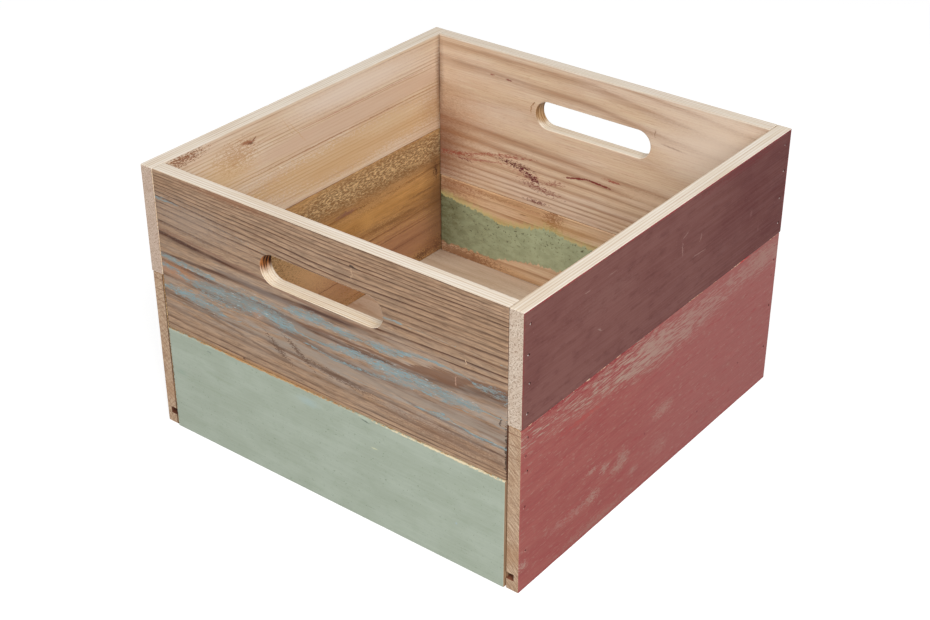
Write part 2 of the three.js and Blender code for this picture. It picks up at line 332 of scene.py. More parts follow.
def addMarks(tree, space, surface, marks, seed):
    # Knots, stains, scuffs and chips: soft or gritty spots, each set where the board has one
    rugged = roughen(tree, space, markEdge["lumps"], markEdge["reach"], seed)
    grit = patches(tree, space, markEdge["grit"], 0.34, 0.66, seed + 3, 3, 0.7)
    color = surface["color"]
    height = surface["height"]
    for ownMark in marks:
        mark = {**markLook, **ownMark}
        place = {0: rugged["grain"], 1: (*mark["at"], 0), 2: (0, 0, math.radians(mark["tilt"])),
                 3: (*mark["half"], 1e6)}
        off = addNode(tree, "VectorMath", {0: addNode(tree, "Mapping", place, vector_type="TEXTURE")},
                      out="Value", operation="LENGTH")
        worn = addNode(tree, "Math", {0: grit, 1: mark["grit"], 2: off}, operation="MULTIPLY_ADD")
        edge = 1 + 0.5 * mark["grit"]
        mask = addNode(tree, "MapRange", {0: worn, 1: edge, 2: edge - mark["soft"], 4: mark["strength"]},
                       interpolation_type="SMOOTHSTEP")
        color = addNode(tree, "Mix", {0: mask, 6: color, 7: hexColor(mark["color"])}, out=2, data_type="RGBA")
        if "deep" in mark:
            height = addNode(tree, "Math", {0: mask, 1: -mark["deep"], 2: height}, operation="MULTIPLY_ADD")
    return {"color": color, "rough": surface["rough"], "height": height}


def newFinish(name, lie):
    material = bpy.data.materials.new(name)
    material.use_nodes = True
    material.node_tree.nodes.clear()
    return material, material.node_tree, boardSpace(material.node_tree, lie)


def closeFinish(tree, surface, gloss=0.4):
    # Dry wood and old paint: IOR 1.5. The height is in millimetres, so the bump's distance is one.
    normal = addNode(tree, "Bump", {"Strength": 1, "Distance": mm, "Height": surface["height"]})
    shader = addNode(tree, "BsdfPrincipled", {"Base Color": surface["color"], "Roughness": surface["rough"],
                                              "Normal": normal, "IOR": 1.5, "Specular IOR Level": gloss})
    addNode(tree, "OutputMaterial", {"Surface": shader})


# Pine rim, planed after the walls were glued up: pale and silky, its rings fine lines along the wood
rimLook = {
    "early": "#e3d8c9", "tone": "#ddd0bf", "late": "#bb9c76", "rough": 0.55, "fibre": 0.15, "pores": 0.05,
    "pitch": 2.7, "waver": 1.6, "ridge": -0.01, "fuzz": 0.01,
}


def planedPine(name, lie, look, seed):
    material, tree, space = newFinish(name, lie)
    wood = woodSurface(tree, space, {**look, "seed": seed})
    closeFinish(tree, wood)
    return material


# Cross-cut pine ends: the fibres end as fine dark dots between the rings, and the saw left slanting marks
paleEnd = {
    "color": "#d4c4b3", "tone": "#c8b4a1", "dark": "#9d8069", "speck": "#7d5e48", "rough": 0.8,
    "ringLevel": 0.35, "pith": (102, 257), "pitch": 2.4, "sawTilt": 50, "sawLevel": 0.3, "specks": 0.65,
    "marks": [],
}
pinkEnd = {**paleEnd, "color": "#cfbaa9", "tone": "#c2a998", "pith": (-60, 330), "specks": 0.5}
tanEnd = {
    "color": "#cab095", "tone": "#b8987b", "dark": "#7d563c", "speck": "#6c4a35", "rough": 0.8,
    "ringLevel": 0.45, "pith": (3, -140), "pitch": 3.4, "sawTilt": -45, "sawLevel": 0.5, "specks": 0.4,
    "marks": [
        {"at": (0, 144), "half": (1e3, 0.7), "color": "#85604a", "soft": 0.6, "grit": 0.2},
        {"at": (0, 134), "half": (1e3, 0.6), "color": "#85604a", "strength": 0.7, "soft": 0.6, "grit": 0.2},
        {"at": (0, 123), "half": (1e3, 0.6), "color": "#8c6850", "strength": 0.6, "soft": 0.6, "grit": 0.2},
        {"at": (0, 33), "half": (1e3, 15), "color": "#a67b56", "strength": 0.35, "soft": 0.9, "grit": 0.6},
    ],
}
# painted shade at the joint with the side board, darkening the end's inner edge: where it starts through the
# board, and its reach
thinGapShade = {"at": -177, "reach": -0.9, "color": "#3a2012"}
wideGapShade = {**thinGapShade, "at": -177.5, "reach": -1.9}
# Millimetres along the grain, up the face and through the board. Fibres end as dots far under 0.1 mm wide,
# which are drawn 1.1 mm wide so that they show.
endSizes = {
    "bends": (40, 9, 9), "blotches": (40, 14, 9), "sawMarks": (50, 8, 0.9), "dots": (1.1, 1.1, 1.1),
    "bendReach": 4, "markDepth": 0.08,
}


def sawnEnd(name, look, seed):
    material, tree, space = newFinish(name, "YZX")
    face = addNode(tree, "CombineXYZ", {0: space["through"], 1: space["across"]})
    fromPith = addNode(tree, "VectorMath", {0: face, 1: (*look["pith"], 0)}, operation="SUBTRACT")
    radius = addNode(tree, "VectorMath", {0: fromPith}, out="Value", operation="LENGTH")
    bends = streaks(tree, space, endSizes["bends"], seed, 2)
    uneven = addNode(tree, "Math", {0: bends, 1: endSizes["bendReach"], 2: radius}, operation="MULTIPLY_ADD")
    number = addNode(tree, "Math", {0: uneven, 1: look["pitch"]}, operation="DIVIDE")
    part = addNode(tree, "Math", {0: number}, operation="FRACT")
    ring = addNode(tree, "ValToRGB", {0: part}, stops=softwoodLook["profile"])
    patchy = patches(tree, space, endSizes["blotches"], 0.4, 0.6, seed + 1)
    patchy = addNode(tree, "MapRange", {0: patchy, 3: 0.45, 4: 1})
    ringLevel = addNode(tree, "Math", {0: ring, 1: look["ringLevel"]}, operation="MULTIPLY")
    ringLevel = addNode(tree, "Math", {0: ringLevel, 1: patchy}, operation="MULTIPLY")
    color = addNode(tree, "Mix", {0: patchy, 6: hexColor(look["tone"]), 7: hexColor(look["color"])},
                    out=2, data_type="RGBA")
    color = addNode(tree, "Mix", {0: ringLevel, 6: color, 7: hexColor(look["dark"])}, out=2, data_type="RGBA")
    turned = addNode(tree, "Mapping", {0: space["grain"], 2: (math.radians(look["sawTilt"]), 0, 0),
                                       3: endSizes["sawMarks"]}, vector_type="TEXTURE")
    saw = addNode(tree, "TexNoise", {0: turned, "Scale": 1, "Detail": 2})
    sawn = addNode(tree, "MapRange", {0: saw, 1: 0.42, 2: 0.62, 3: 0, 4: look["sawLevel"]})
    color = addNode(tree, "Mix", {0: sawn, 6: color, 7: hexColor(look["dark"])}, out=2, data_type="RGBA")
    dots = patches(tree, space, endSizes["dots"], 0.55, 0.66, seed + 2, 1)
    dots = addNode(tree, "Math", {0: dots, 1: look["specks"]}, operation="MULTIPLY")
    color = addNode(tree, "Mix", {0: dots, 6: color, 7: hexColor(look["speck"])}, out=2, data_type="RGBA")
    depth = addNode(tree, "Math", {0: dots, 1: -1, 2: sawn}, operation="MULTIPLY_ADD")
    height = addNode(tree, "Math", {0: depth, 1: endSizes["markDepth"]}, operation="MULTIPLY")
    # painted shade: the end darkens towards its inner edge, where the joint's gap lies in shade
    if "gapShade" in look:
        gapShade = look["gapShade"]
        shadedEdge = nearEdges(tree, space, [("through", gapShade["at"], gapShade["reach"])])
        shadedEdge = addNode(tree, "MapRange", {0: shadedEdge, 1: 0, 2: 0.6}, interpolation_type="SMOOTHSTEP")
        color = addNode(tree, "Mix", {0: shadedEdge, 6: color, 7: hexColor(gapShade["color"])}, out=2,
                        data_type="RGBA")
    surface = {"color": color, "rough": look["rough"], "height": height}
    closeFinish(tree, addMarks(tree, space, surface, look["marks"], seed), gloss=0.2)
    return material


# Pine cut by a router: clean cream wood, with scorched streaks where the cutter dwelt
routedLook = {
    "early": "#e6dac8", "tone": "#dfd0bb", "late": "#b58f60", "rough": 0.6, "fibre": 0.15,
    "pitch": 2.3, "waver": 1.2, "ridge": 0.02,
}
charLines = {"tilt": 12, "perMm": (0.03, 0.55, 0.05)}  # char lines 1.8 mm apart, up the slot's end
# where the cutter dwelt, its half sizes, the toast round it and the char in its lines
scorchedEnd = {"at": (-58, -184, 204), "half": (9, 15, 13), "toast": "#a5683a", "char": "#2a1108"}
dwelledEnd = {"at": (-60, 186, 200), "half": (9, 13, 15), "toast": "#b8946c", "char": "#8f683f"}


def routedPine(name, seed, scorch):
    material, tree, space = newFinish(name, "XYZ")
    wood = woodSurface(tree, space, {**routedLook, "seed": seed})
    off = addNode(tree, "VectorMath", {0: space["grain"], 1: scorch["at"]}, operation="SUBTRACT")
    share = addNode(tree, "VectorMath", {0: off, 1: scorch["half"]}, operation="DIVIDE")
    near = addNode(tree, "VectorMath", {0: share}, out="Value", operation="LENGTH")
    burn = addNode(tree, "MapRange", {0: near, 1: 1.15, 2: 0.6}, interpolation_type="SMOOTHSTEP")
    turned = addNode(tree, "Mapping", {0: space["grain"], 2: (math.radians(charLines["tilt"]), 0, 0),
                                       3: charLines["perMm"]})
    lines = addNode(tree, "TexNoise", {0: turned, "Scale": 1, "Detail": 2})
    lines = addNode(tree, "MapRange", {0: lines, 1: 0.44, 2: 0.54}, interpolation_type="SMOOTHSTEP")
    level = addNode(tree, "Math", {0: burn, 1: lines}, operation="MULTIPLY")
    toasted = addNode(tree, "Mix", {0: burn, 6: wood["color"], 7: hexColor(scorch["toast"])}, out=2,
                      data_type="RGBA")
    wood["color"] = addNode(tree, "Mix", {0: level, 6: toasted, 7: hexColor(scorch["char"])}, out=2,
                            data_type="RGBA")
    closeFinish(tree, wood, gloss=0.2)
    return material


# Weathered pine from an old painted wall: grey-brown, with raised dark late wood, and blue paint left in
# streaks
weatheredFront = {
    "wood": {
        "early": "#a5876d", "tone": "#9c7d62", "late": "#45220f", "rough": 0.82, "fibre": 0.24, "pores": 0.35,
        "fibreSize": (14, 1, 1), "seed": 21, "waver": 1.2, "ridge": 0.12, "fuzz": 0.05, "heart": 5.5,
        "fade": 0.55,
        "profile": [(0, 0.12), (1, 0.3), (0.12, 0), (0.55, 0.06), (0.74, 0.45), (0.84, 1), (0.94, 1)],
        # heights of each dark line at the left end, the middle and the right end, and how strong it is
        "lines": [
            (98, 98, 98, 0.3), (105, 103, 103, 0.8), (111.5, 107, 106, 0.6), (121.5, 116, 111, 0.45),
            (135, 124.5, 120, 0.8), (152, 140, 128.5, 0.7), (168, 161, 180, 0.9), (173, 181, 186, 1),
            (195, 184.5, 190.5, 1), (204, 195, 197.5, 0.9), (210, 202, 206, 0.75), (216, 207, 211, 0.8),
            (220.5, 212.3, 216, 0.85), (226, 216.5, 221, 0.95), (229.5, 221, 224.5, 0.85),
            (232.5, 226, 229, 0.8), (235.5, 230, 232, 0.95), (238, 233.5, 235.5, 0.95),
            (240.5, 237, 238.5, 0.7), (243, 240.5, 241.5, 0.8), (245.5, 243.5, 244.5, 0.7),
            (249, 248, 248, 0.8),
        ],
        "toLeft": [(-190, 1), (-100, 0.57), (-62, 0.45), (-10, 0.1), (20, 0), (190, 0)],
        "toRight": [(-190, 0), (20, 0), (60, 0.2), (100, 0.45), (150, 0.8), (190, 1)],
    },
    "greyUp": [(98, 0), (112, 0.2), (130, 0.85), (160, 0.8), (178, 0.5), (192, 0.1), (250, 0)],
    "greyAlong": [(-190, 0.5), (-60, 0.8), (0, 1), (190, 1)],
    "grey": "#a0958b",
    "paint": "#7c999f", "paintWorn": "#7b8583", "paintLeft": 0.62, "spread": 1.25, "chalk": "#c6cbc8",
    "filmThickness": 0.1,
    # millimetres along the grain, up the face and through the board; flecks of paint and stained fibres are
    # often finer, and are drawn about 1 mm wide so that they show
    "sizes": {
        "grey": (30, 4, 9), "edgeLumps": (13, 2.5, 9), "edgeReach": (9, 3.5, 0), "stainFibres": (22, 1.1, 4),
        "flecks": (6, 1, 4), "fading": (30, 6, 9), "thinning": (12, 1, 4), "chalk": (6, 0.9, 4),
    },
    "wornAlong": [(-190, 0.6), (-130, 0.9), (-30, 0.9), (0, 0.6), (190, 0.6)],
    # long stains, each along its own middle line; a band's points are (along, middle, half width)
    "stains": [
        {"color": "#6f4d39", "strength": 0.8, "soft": 0.5, "band": [
            (-190, 158, 0.1), (-60, 158, 0.3), (-25, 160.6, 1.6), (-10, 161.5, 1.8), (16, 162.3, 2),
            (42, 163, 1.8), (67, 163, 2), (86, 163.5, 2.6), (98, 166, 5), (112, 168, 7.5), (130, 169, 7.5),
            (143, 173.5, 3.6), (153, 175.5, 2.8), (165, 176, 3), (190, 177.5, 2.4)]},
        {"color": "#7d5b49", "strength": 0.7, "soft": 0.8, "band": [
            (-190, 195, 2), (-150, 193, 2.4), (-100, 189.5, 2.2), (-66, 187.5, 2), (-40, 183, 1.8),
            (-10, 181.5, 2), (30, 181, 2), (50, 181, 1), (70, 181, 0.1), (190, 181, 0.1)]},
        {"color": "#7c6c62", "strength": 0.75, "soft": 0.8, "band": [
            (-190, 178, 0.1), (-120, 178, 0.5), (-90, 177, 4), (-60, 175.5, 5), (-35, 174.5, 4),
            (-20, 174, 0.1), (190, 174, 0.1)]},
        {"color": "#6b5a50", "strength": 0.65, "soft": 0.8, "band": [
            (-190, 150, 0.1), (-60, 152, 0.2), (-40, 151, 2), (-15, 147, 2.2), (20, 142, 2), (60, 136.5, 2),
            (93, 131, 1.8), (130, 129, 1.8), (176, 127, 1.8), (190, 127, 1.8)]},
        {"color": "#6c5647", "strength": 0.6, "soft": 0.7, "band": [
            (-190, 133, 1.6), (-150, 132.5, 2.2), (-126, 131, 2.2), (-100, 127, 2), (-56, 121, 1.6),
            (-30, 119, 0.2), (190, 119, 0.1)]},
        {"color": "#857d74", "strength": 0.6, "soft": 0.9, "band": [
            (-190, 158, 0.1), (-140, 158, 2), (-120, 157, 12), (-60, 160, 12), (-30, 157, 10), (0, 152, 4),
            (20, 150, 0.1), (190, 150, 0.1)]},
        {"color": "#988879", "strength": 0.7, "soft": 0.9, "band": [
            (-190, 134, 0.1), (-60, 134, 2), (-40, 135, 9), (0, 136, 9), (60, 136, 7), (120, 137, 6),
            (190, 137, 4)]},
    ],
    # where the blue paint is left
    "bands": [
        [(-190, 172, 1), (-165, 170, 3.4), (-120, 167, 3), (-112, 166, 0.2), (-40, 168, 0.2), (-30, 171, 5.5),
         (0, 171, 5.5), (10, 169.5, 3), (28, 169, 4), (42, 169, 1), (55, 170, 4), (72, 170, 4), (90, 176, 2),
         (110, 177.5, 1.4), (140, 176, 0.5), (150, 172, 2), (165, 173, 4.5), (190, 169, 5)],
        [(-190, 163, 3.4), (-160, 161, 2.6), (-145, 155, 2), (-130, 154, 7), (-100, 155, 11), (-85, 158, 11),
         (-60, 160, 8.5), (-45, 155, 10), (-32, 152, 5), (-25, 151, 0.5), (0, 151, 1), (15, 153, 3.4),
         (32, 155, 5), (44, 155, 3.4), (50, 154, 6.5), (85, 154, 7), (110, 154, 6), (125, 152, 6),
         (147, 153, 3.4), (158, 153, 0.8), (190, 152, 0.8)],
        [(-190, 141, 1.5), (-170, 141, 3), (-150, 141, 5.5), (-130, 140, 7), (-112, 137, 4), (-104, 136, 0.2),
         (-20, 144, 0.2), (-10, 144, 1.8), (10, 141, 1.2), (50, 143, 1.8), (75, 146, 2.4), (95, 148, 2),
         (112, 146, 0.4), (190, 146, 0.1)],
        [(90, 131, 0.1), (106, 131.5, 1.6), (117, 133, 2.6), (126, 132, 0.6), (145, 128.5, 1.4),
         (190, 128, 1.6)],
        [(-190, 223, 1.6), (-170, 223, 1.8), (-155, 223, 0.8), (-148, 222, 0.1), (60, 198, 0.1),
         (72, 198, 1.2), (84, 198, 0.1)],
    ],
    "marks": [
        {"at": (-163, 160), "half": (38, 10), "color": "#b07a56", "strength": 0.6, "soft": 0.9},
        {"at": (-60, 100.5), "half": (140, 4), "color": "#b0804f", "strength": 0.6, "soft": 0.8},
        {"at": (125, 116), "half": (80, 11), "color": "#775743", "strength": 0.55, "soft": 0.9, "grit": 1},
        # painted shade: a dark line down the right end, for the shadow in the gap at the side board
        {"at": (176.7, 126), "half": (1.5, 30), "color": "#2f1d12", "strength": 0.9, "grit": 0.8},
        {"at": (-90, 245.5), "half": (75, 5), "color": "#85583e", "strength": 0.6, "soft": 0.9, "grit": 0.6},
        {"at": (-140, 212), "half": (75, 26), "color": "#9c8a7c", "strength": 0.5, "soft": 1, "grit": 0.6},
        {"at": (-48, 128), "half": (16, 3), "tilt": -38, "color": "#5f4636", "strength": 0.85, "soft": 0.6,
         "grit": 1.4},
        {"at": (-26, 133), "half": (18, 2.6), "tilt": -34, "color": "#5f4636", "strength": 0.85,
         "soft": 0.6, "grit": 1.4},
        {"at": (12, 126), "half": (34, 3), "tilt": -6, "color": "#654c3c", "soft": 0.6, "grit": 1.4},
        # painted shade: a dark line down the left end, for the shadow in the gap at the side board
        {"at": (-176.7, 130), "half": (0.8, 40), "color": "#3a2416", "strength": 0.7, "soft": 0.7,
         "grit": 0.8},
        {"at": (-68, 153), "half": (8, 6), "tilt": 30, "color": "#a2826c", "strength": 0.9, "soft": 0.4},
        {"at": (34, 230.5), "half": (3.2, 1.1), "tilt": -15, "color": "#33261f", "strength": 0.9,
         "soft": 0.4, "deep": 0.3},
        {"at": (33, 224), "half": (1, 6), "color": "#bd9d80", "strength": 0.6},
        {"at": (139.5, 188.5), "half": (0.7, 3.2), "color": "#cbaa8c", "soft": 0.4, "deep": 0.15},
        {"at": (130.5, 169), "half": (0.7, 5.5), "tilt": 6, "color": "#b08c77", "soft": 0.4, "deep": 0.15},
        {"at": (171, 150.5), "half": (0.8, 5), "tilt": -8, "color": "#56463c", "strength": 0.9, "deep": 0.3},
        {"at": (132, 145.5), "half": (6, 1.6), "color": "#9c7452", "strength": 0.7, "soft": 0.6},
        {"at": (-88, 103), "half": (1.6, 1.3), "color": "#5d3f2c", "strength": 0.9, "deep": 0.2},
        {"at": (60, 100.1), "half": (130, 1), "color": "#e6cb9c", "strength": 0.9, "soft": 0.6},
    ],
}


def weatheredPine(name, lie, look):
    material, tree, space = newFinish(name, lie)
    wood = woodSurface(tree, space, look["wood"])
    seed = look["wood"]["seed"]
    sizes = look["sizes"]
    greyUp = curveOf(tree, space["across"], look["greyUp"])
    greyAlong = curveOf(tree, space["along"], look["greyAlong"])
    patchy = patches(tree, space, sizes["grey"], 0.3, 0.7, seed + 12, 3)
    grey = addNode(tree, "Math", {0: greyUp, 1: greyAlong}, operation="MULTIPLY")
    grey = addNode(tree, "Math", {0: grey, 1: patchy}, operation="MULTIPLY")
    softer = addNode(tree, "MapRange", {0: wood["late"], 3: 1, 4: 0.25})
    grey = addNode(tree, "Math", {0: grey, 1: softer}, operation="MULTIPLY")
    wood["color"] = addNode(tree, "Mix", {0: grey, 6: wood["color"], 7: hexColor(look["grey"])},
                            out=2, data_type="RGBA")
    ragged = roughen(tree, space, sizes["edgeLumps"], sizes["edgeReach"], seed + 2)
    fibres = streaks(tree, space, sizes["stainFibres"], seed + 22, 4, 0.7)
    fibres = addNode(tree, "MapRange", {0: fibres, 1: 0.38, 2: 0.62, 3: -0.35, 4: 0.25})
    for stain in look["stains"]:
        # a stain soaks in along some fibres more than others
        band = bandOf(tree, ragged, stain["band"])
        within = addNode(tree, "MapRange", {0: band, 1: 0, 2: 0.3}, interpolation_type="SMOOTHSTEP")
        band = addNode(tree, "Math", {0: fibres, 1: within, 2: band}, operation="MULTIPLY_ADD")
        mask = addNode(tree, "MapRange", {0: band, 1: 0, 2: stain["soft"], 4: stain["strength"]},
                       interpolation_type="SMOOTHSTEP")
        wood["color"] = addNode(tree, "Mix", {0: mask, 6: wood["color"], 7: hexColor(stain["color"])}, out=2,
                                data_type="RGBA")
    wood = {**addMarks(tree, space, wood, look["marks"], seed), "late": wood["late"]}
    cover = None
    for points in look["bands"]:
        wider = [(along, middle, half * look["spread"]) for along, middle, half in points]
        band = bandOf(tree, ragged, wider)
        cover = addNode(tree, "Math", {0: cover, 1: band}, operation="MAXIMUM") if cover else band
    if cover:
        # flecks a few millimetres long, thick where a band is full and sparse at its edges; the raised dark
        # lines of the wood wore bare first
        fleck = patches(tree, space, sizes["flecks"], 0.32, 0.68, seed + 14, 5, 0.75)
        cover = addNode(tree, "Math", {0: cover, 1: 1.5}, operation="MULTIPLY", use_clamp=True)
        some = addNode(tree, "MapRange", {0: cover, 1: 0, 2: 0.12}, interpolation_type="SMOOTHSTEP")
        full = addNode(tree, "Math", {0: cover, 1: look["paintLeft"], 2: fleck}, operation="MULTIPLY_ADD")
        full = addNode(tree, "Math", {0: wood["late"], 1: -0.3, 2: full}, operation="MULTIPLY_ADD")
        mask = addNode(tree, "MapRange", {0: full, 1: 0.82, 2: 0.98}, interpolation_type="SMOOTHSTEP")
        mask = addNode(tree, "Math", {0: mask, 1: some}, operation="MULTIPLY")
        drift = patches(tree, space, sizes["fading"], 0.4, 0.6, seed + 16, 3)
        toGrey = curveOf(tree, space["along"], look["wornAlong"])
        drift = addNode(tree, "Math", {0: drift, 1: toGrey}, operation="MULTIPLY")
        blue = addNode(tree, "Mix", {0: drift, 6: hexColor(look["paint"]), 7: hexColor(look["paintWorn"])},
                       out=2, data_type="RGBA")
        thin = streaks(tree, space, sizes["thinning"], seed + 18, 3, 0.6)
        thin = addNode(tree, "MapRange", {0: thin, 1: 0.38, 2: 0.62, 3: 0.45, 4: 1})
        mask = addNode(tree, "Math", {0: mask, 1: thin}, operation="MULTIPLY")
        film = {"color": blue, "rough": 0.7, "height": 0.0}
        wood = layOver(tree, wood, film, mask, look["filmThickness"])
        chalk = patches(tree, space, sizes["chalk"], 0.63, 0.7, seed + 20, 3, 0.6)
        chalk = addNode(tree, "Math", {0: chalk, 1: some}, operation="MULTIPLY")
        chalk = addNode(tree, "Math", {0: chalk, 1: 0.6}, operation="MULTIPLY")
        wood["color"] = addNode(tree, "Mix", {0: chalk, 6: wood["color"], 7: hexColor(look["chalk"])}, out=2,
                                data_type="RGBA")
    closeFinish(tree, wood)
    return material


# Oil paint brushed on pine: the film hides the wood, follows its ridges softly and wears off at the arrises.
# Each edge is an axis, the arris' place on it and how far the wear reaches from there.
mintFront = {
    "color": "#9da696", "pale": "#a4ad9e", "deep": "#939e8b", "speck": "#6f7c6a", "rough": 0.55, "seed": 31,
    "gloss": 0.3, "lie": "XZY", "film": 0.15, "brush": 0.012, "blots": 0.4, "strokes": 0.025, "specks": 0.6,
    "blotSize": (13, 7, 9), "edges": [("across", 99.9, -1.5)], "chipping": 1.6,
    "under": {"early": "#cdb186", "tone": "#bd9c6e", "late": "#94734b", "rough": 0.7, "fibre": 0.3,
              "pitch": 4, "waver": 2},
    "marks": [
        {"at": (125, 99.5), "half": (80, 0.8), "color": "#dcc8a4", "grit": 1.1},
        {"at": (-70, 99.8), "half": (120, 0.8), "color": "#b07f4b", "strength": 0.9, "soft": 0.6,
         "grit": 0.6},
        # painted shade: the dark line along the left end stands for the shadow in the gap beside the side
        # board
        {"at": (-176, 50), "half": (0.8, 55), "color": "#5d4f3c", "strength": 0.85, "soft": 0.6,
         "grit": 0.8},
        {"at": (42, 96.4), "half": (6, 1), "tilt": -8, "color": "#5c655c", "soft": 0.6},
        {"at": (50, 74.5), "half": (4, 0.9), "tilt": 5, "color": "#c6c7a4", "soft": 0.6},
        {"at": (131, 40), "half": (1.6, 1.6), "color": "#9db2bd", "strength": 0.7, "soft": 0.7},
        {"at": (-128, 94), "half": (4, 1.2), "color": "#78827a", "strength": 0.6, "soft": 0.8},
        {"at": (-18, 90), "half": (16, 6), "color": "#9fb2b0", "strength": 0.6, "soft": 0.9},
        {"at": (-165, 60), "half": (9, 4), "color": "#8c9d8e", "strength": 0.5, "soft": 0.9},
        {"at": (-120, 72), "half": (26, 2), "tilt": -4, "color": "#8f9985", "strength": 0.45, "soft": 0.9},
    ],
}
burgundyRight = {
    "color": "#5a2a28", "pale": "#754b45", "deep": "#552726", "speck": "#8f6a62", "rough": 0.55, "seed": 41,
    "gloss": 0.1, "lie": "YZX", "film": 0.15, "brush": 0.01, "blots": 0.45, "strokes": 0.04, "specks": 0.4,
    "blotSize": (16, 7, 9),
    # paler towards the front end, partly a painted sheen
    "paleAlong": [(-190, 0.95), (-60, 0.95), (40, 0.7), (120, 0.25), (190, 0.05)],
    "edges": [("across", 248, -1.3), ("across", 150.1, 1), ("along", 190, -1.4)], "chipping": 1.35,
    "under": {"early": "#b3474b", "tone": "#9c3a40", "late": "#7c2f30", "rough": 0.6, "fibre": 0.3,
              "pitch": 4, "waver": 2},
    "marks": [
        {"at": (0, 150.4), "half": (400, 0.9), "color": "#2f1413", "strength": 0.75, "soft": 0.6},
        {"at": (0, 247.2), "half": (400, 0.8), "color": "#9b3438", "soft": 0.6, "grit": 1.2},
        {"at": (189.4, 200), "half": (0.9, 60), "color": "#9b3438", "soft": 0.6, "grit": 1.2},
        {"at": (-189.5, 200), "half": (0.7, 60), "color": "#7d3a37", "soft": 0.6, "grit": 1.2},
        {"at": (110, 243), "half": (70, 4), "color": "#6b2326", "strength": 0.5, "soft": 0.9, "grit": 1.4},
        {"at": (-90, 215), "half": (60, 14), "color": "#7d5750", "strength": 0.35, "soft": 1, "grit": 1},
        {"at": (21, 206), "half": (0.9, 9), "tilt": 8, "color": "#99766f", "strength": 0.6, "soft": 0.6},
        {"at": (24, 217), "half": (7, 0.9), "tilt": 24, "color": "#99766f", "strength": 0.5, "soft": 0.6},
        {"at": (49, 205), "half": (0.9, 5), "tilt": -24, "color": "#99766f", "strength": 0.6, "soft": 0.6},
        {"at": (48, 191), "half": (13, 0.8), "tilt": -4, "color": "#99766f", "strength": 0.5, "soft": 0.6},
        {"at": (131, 192), "half": (3, 5), "color": "#7f5550", "strength": 0.45, "soft": 0.9},
        {"at": (146, 172), "half": (1.6, 3), "color": "#7f5550", "strength": 0.45, "soft": 0.9},
        {"at": (-112, 228.5), "half": (5, 0.7), "color": "#9c7c74", "strength": 0.6, "soft": 0.6},
        {"at": (-80, 230), "half": (8, 0.6), "color": "#94726b", "strength": 0.5, "soft": 0.6},
        {"at": (-93, 188), "half": (4, 0.9), "tilt": -35, "color": "#a0877f", "strength": 0.5, "soft": 0.6},
        {"at": (88, 178), "half": (9, 6), "color": "#6f4742", "strength": 0.45, "soft": 0.9},
    ],
}


# Millimetres along, up and through the board. A bristle's track is a few tenths of a millimetre wide, and is
# drawn 1.4 mm wide so that it shows.
paintSizes = {
    "drift": (45, 22, 40), "bristles": (70, 1.4, 8), "specks": (2.2, 1.6, 8), "flakes": (9, 1.6, 3),
}


def brushedPaint(name, look):
    material, tree, space = newFinish(name, look["lie"])
    seed = look["seed"]
    level = patches(tree, space, paintSizes["drift"], 0.38, 0.62, seed, 3)
    # a curve along the board that pales one end; on the burgundy boards it is partly a painted sheen
    if "paleAlong" in look:
        drift = curveOf(tree, space["along"], look["paleAlong"])
        level = addNode(tree, "Mix", {0: 0.75, 2: level, 3: drift})
    color = addNode(tree, "Mix", {0: level, 6: hexColor(look["color"]), 7: hexColor(look["pale"])},
                    out=2, data_type="RGBA")
    blot = patches(tree, space, look["blotSize"], 0.48, 0.72, seed + 2, 4, 0.65)
    blot = addNode(tree, "Math", {0: blot, 1: look["blots"]}, operation="MULTIPLY")
    color = addNode(tree, "Mix", {0: blot, 6: color, 7: hexColor(look["deep"])}, out=2, data_type="RGBA")
    brush = patches(tree, space, paintSizes["bristles"], 0.34, 0.66, seed + 4, 3, 0.6)
    color = addNode(tree, "Mix", {0: look["strokes"], 6: color, 7: brush}, out=2, data_type="RGBA",
                    blend_type="OVERLAY")
    specks = patches(tree, space, paintSizes["specks"], 0.64, 0.74, seed + 5, 2, 0.6)
    specks = addNode(tree, "Math", {0: specks, 1: look["specks"]}, operation="MULTIPLY")
    color = addNode(tree, "Mix", {0: specks, 6: color, 7: hexColor(look["speck"])}, out=2, data_type="RGBA")
    height = addNode(tree, "Math", {0: brush, 1: look["brush"]}, operation="MULTIPLY")
    rough = addNode(tree, "MapRange", {0: brush, 3: look["rough"] + 0.06, 4: look["rough"] - 0.06})
    paint = {"color": color, "rough": rough, "height": height}
    paint = addMarks(tree, space, paint, look["marks"], seed)
    return chippedEdges(material, tree, space, paint, look)


def chippedEdges(material, tree, space, paint, look):
    # Along the arrises the film came away in flakes and shows what lies under it
    seed = look["seed"]
    wood = woodSurface(tree, space, {**look["under"], "seed": seed + 6})
    near = nearEdges(tree, space, look["edges"])
    flakes = patches(tree, space, paintSizes["flakes"], 0.3, 0.7, seed + 9, 3, 0.65)
    bare = addNode(tree, "Math", {0: flakes, 1: near}, operation="ADD")
    mask = addNode(tree, "MapRange", {0: bare, 1: look["chipping"], 2: look["chipping"] + 0.1},
                   interpolation_type="SMOOTHSTEP")
    closeFinish(tree, layOver(tree, paint, wood, mask, -look["film"]), gloss=look["gloss"])
    return material


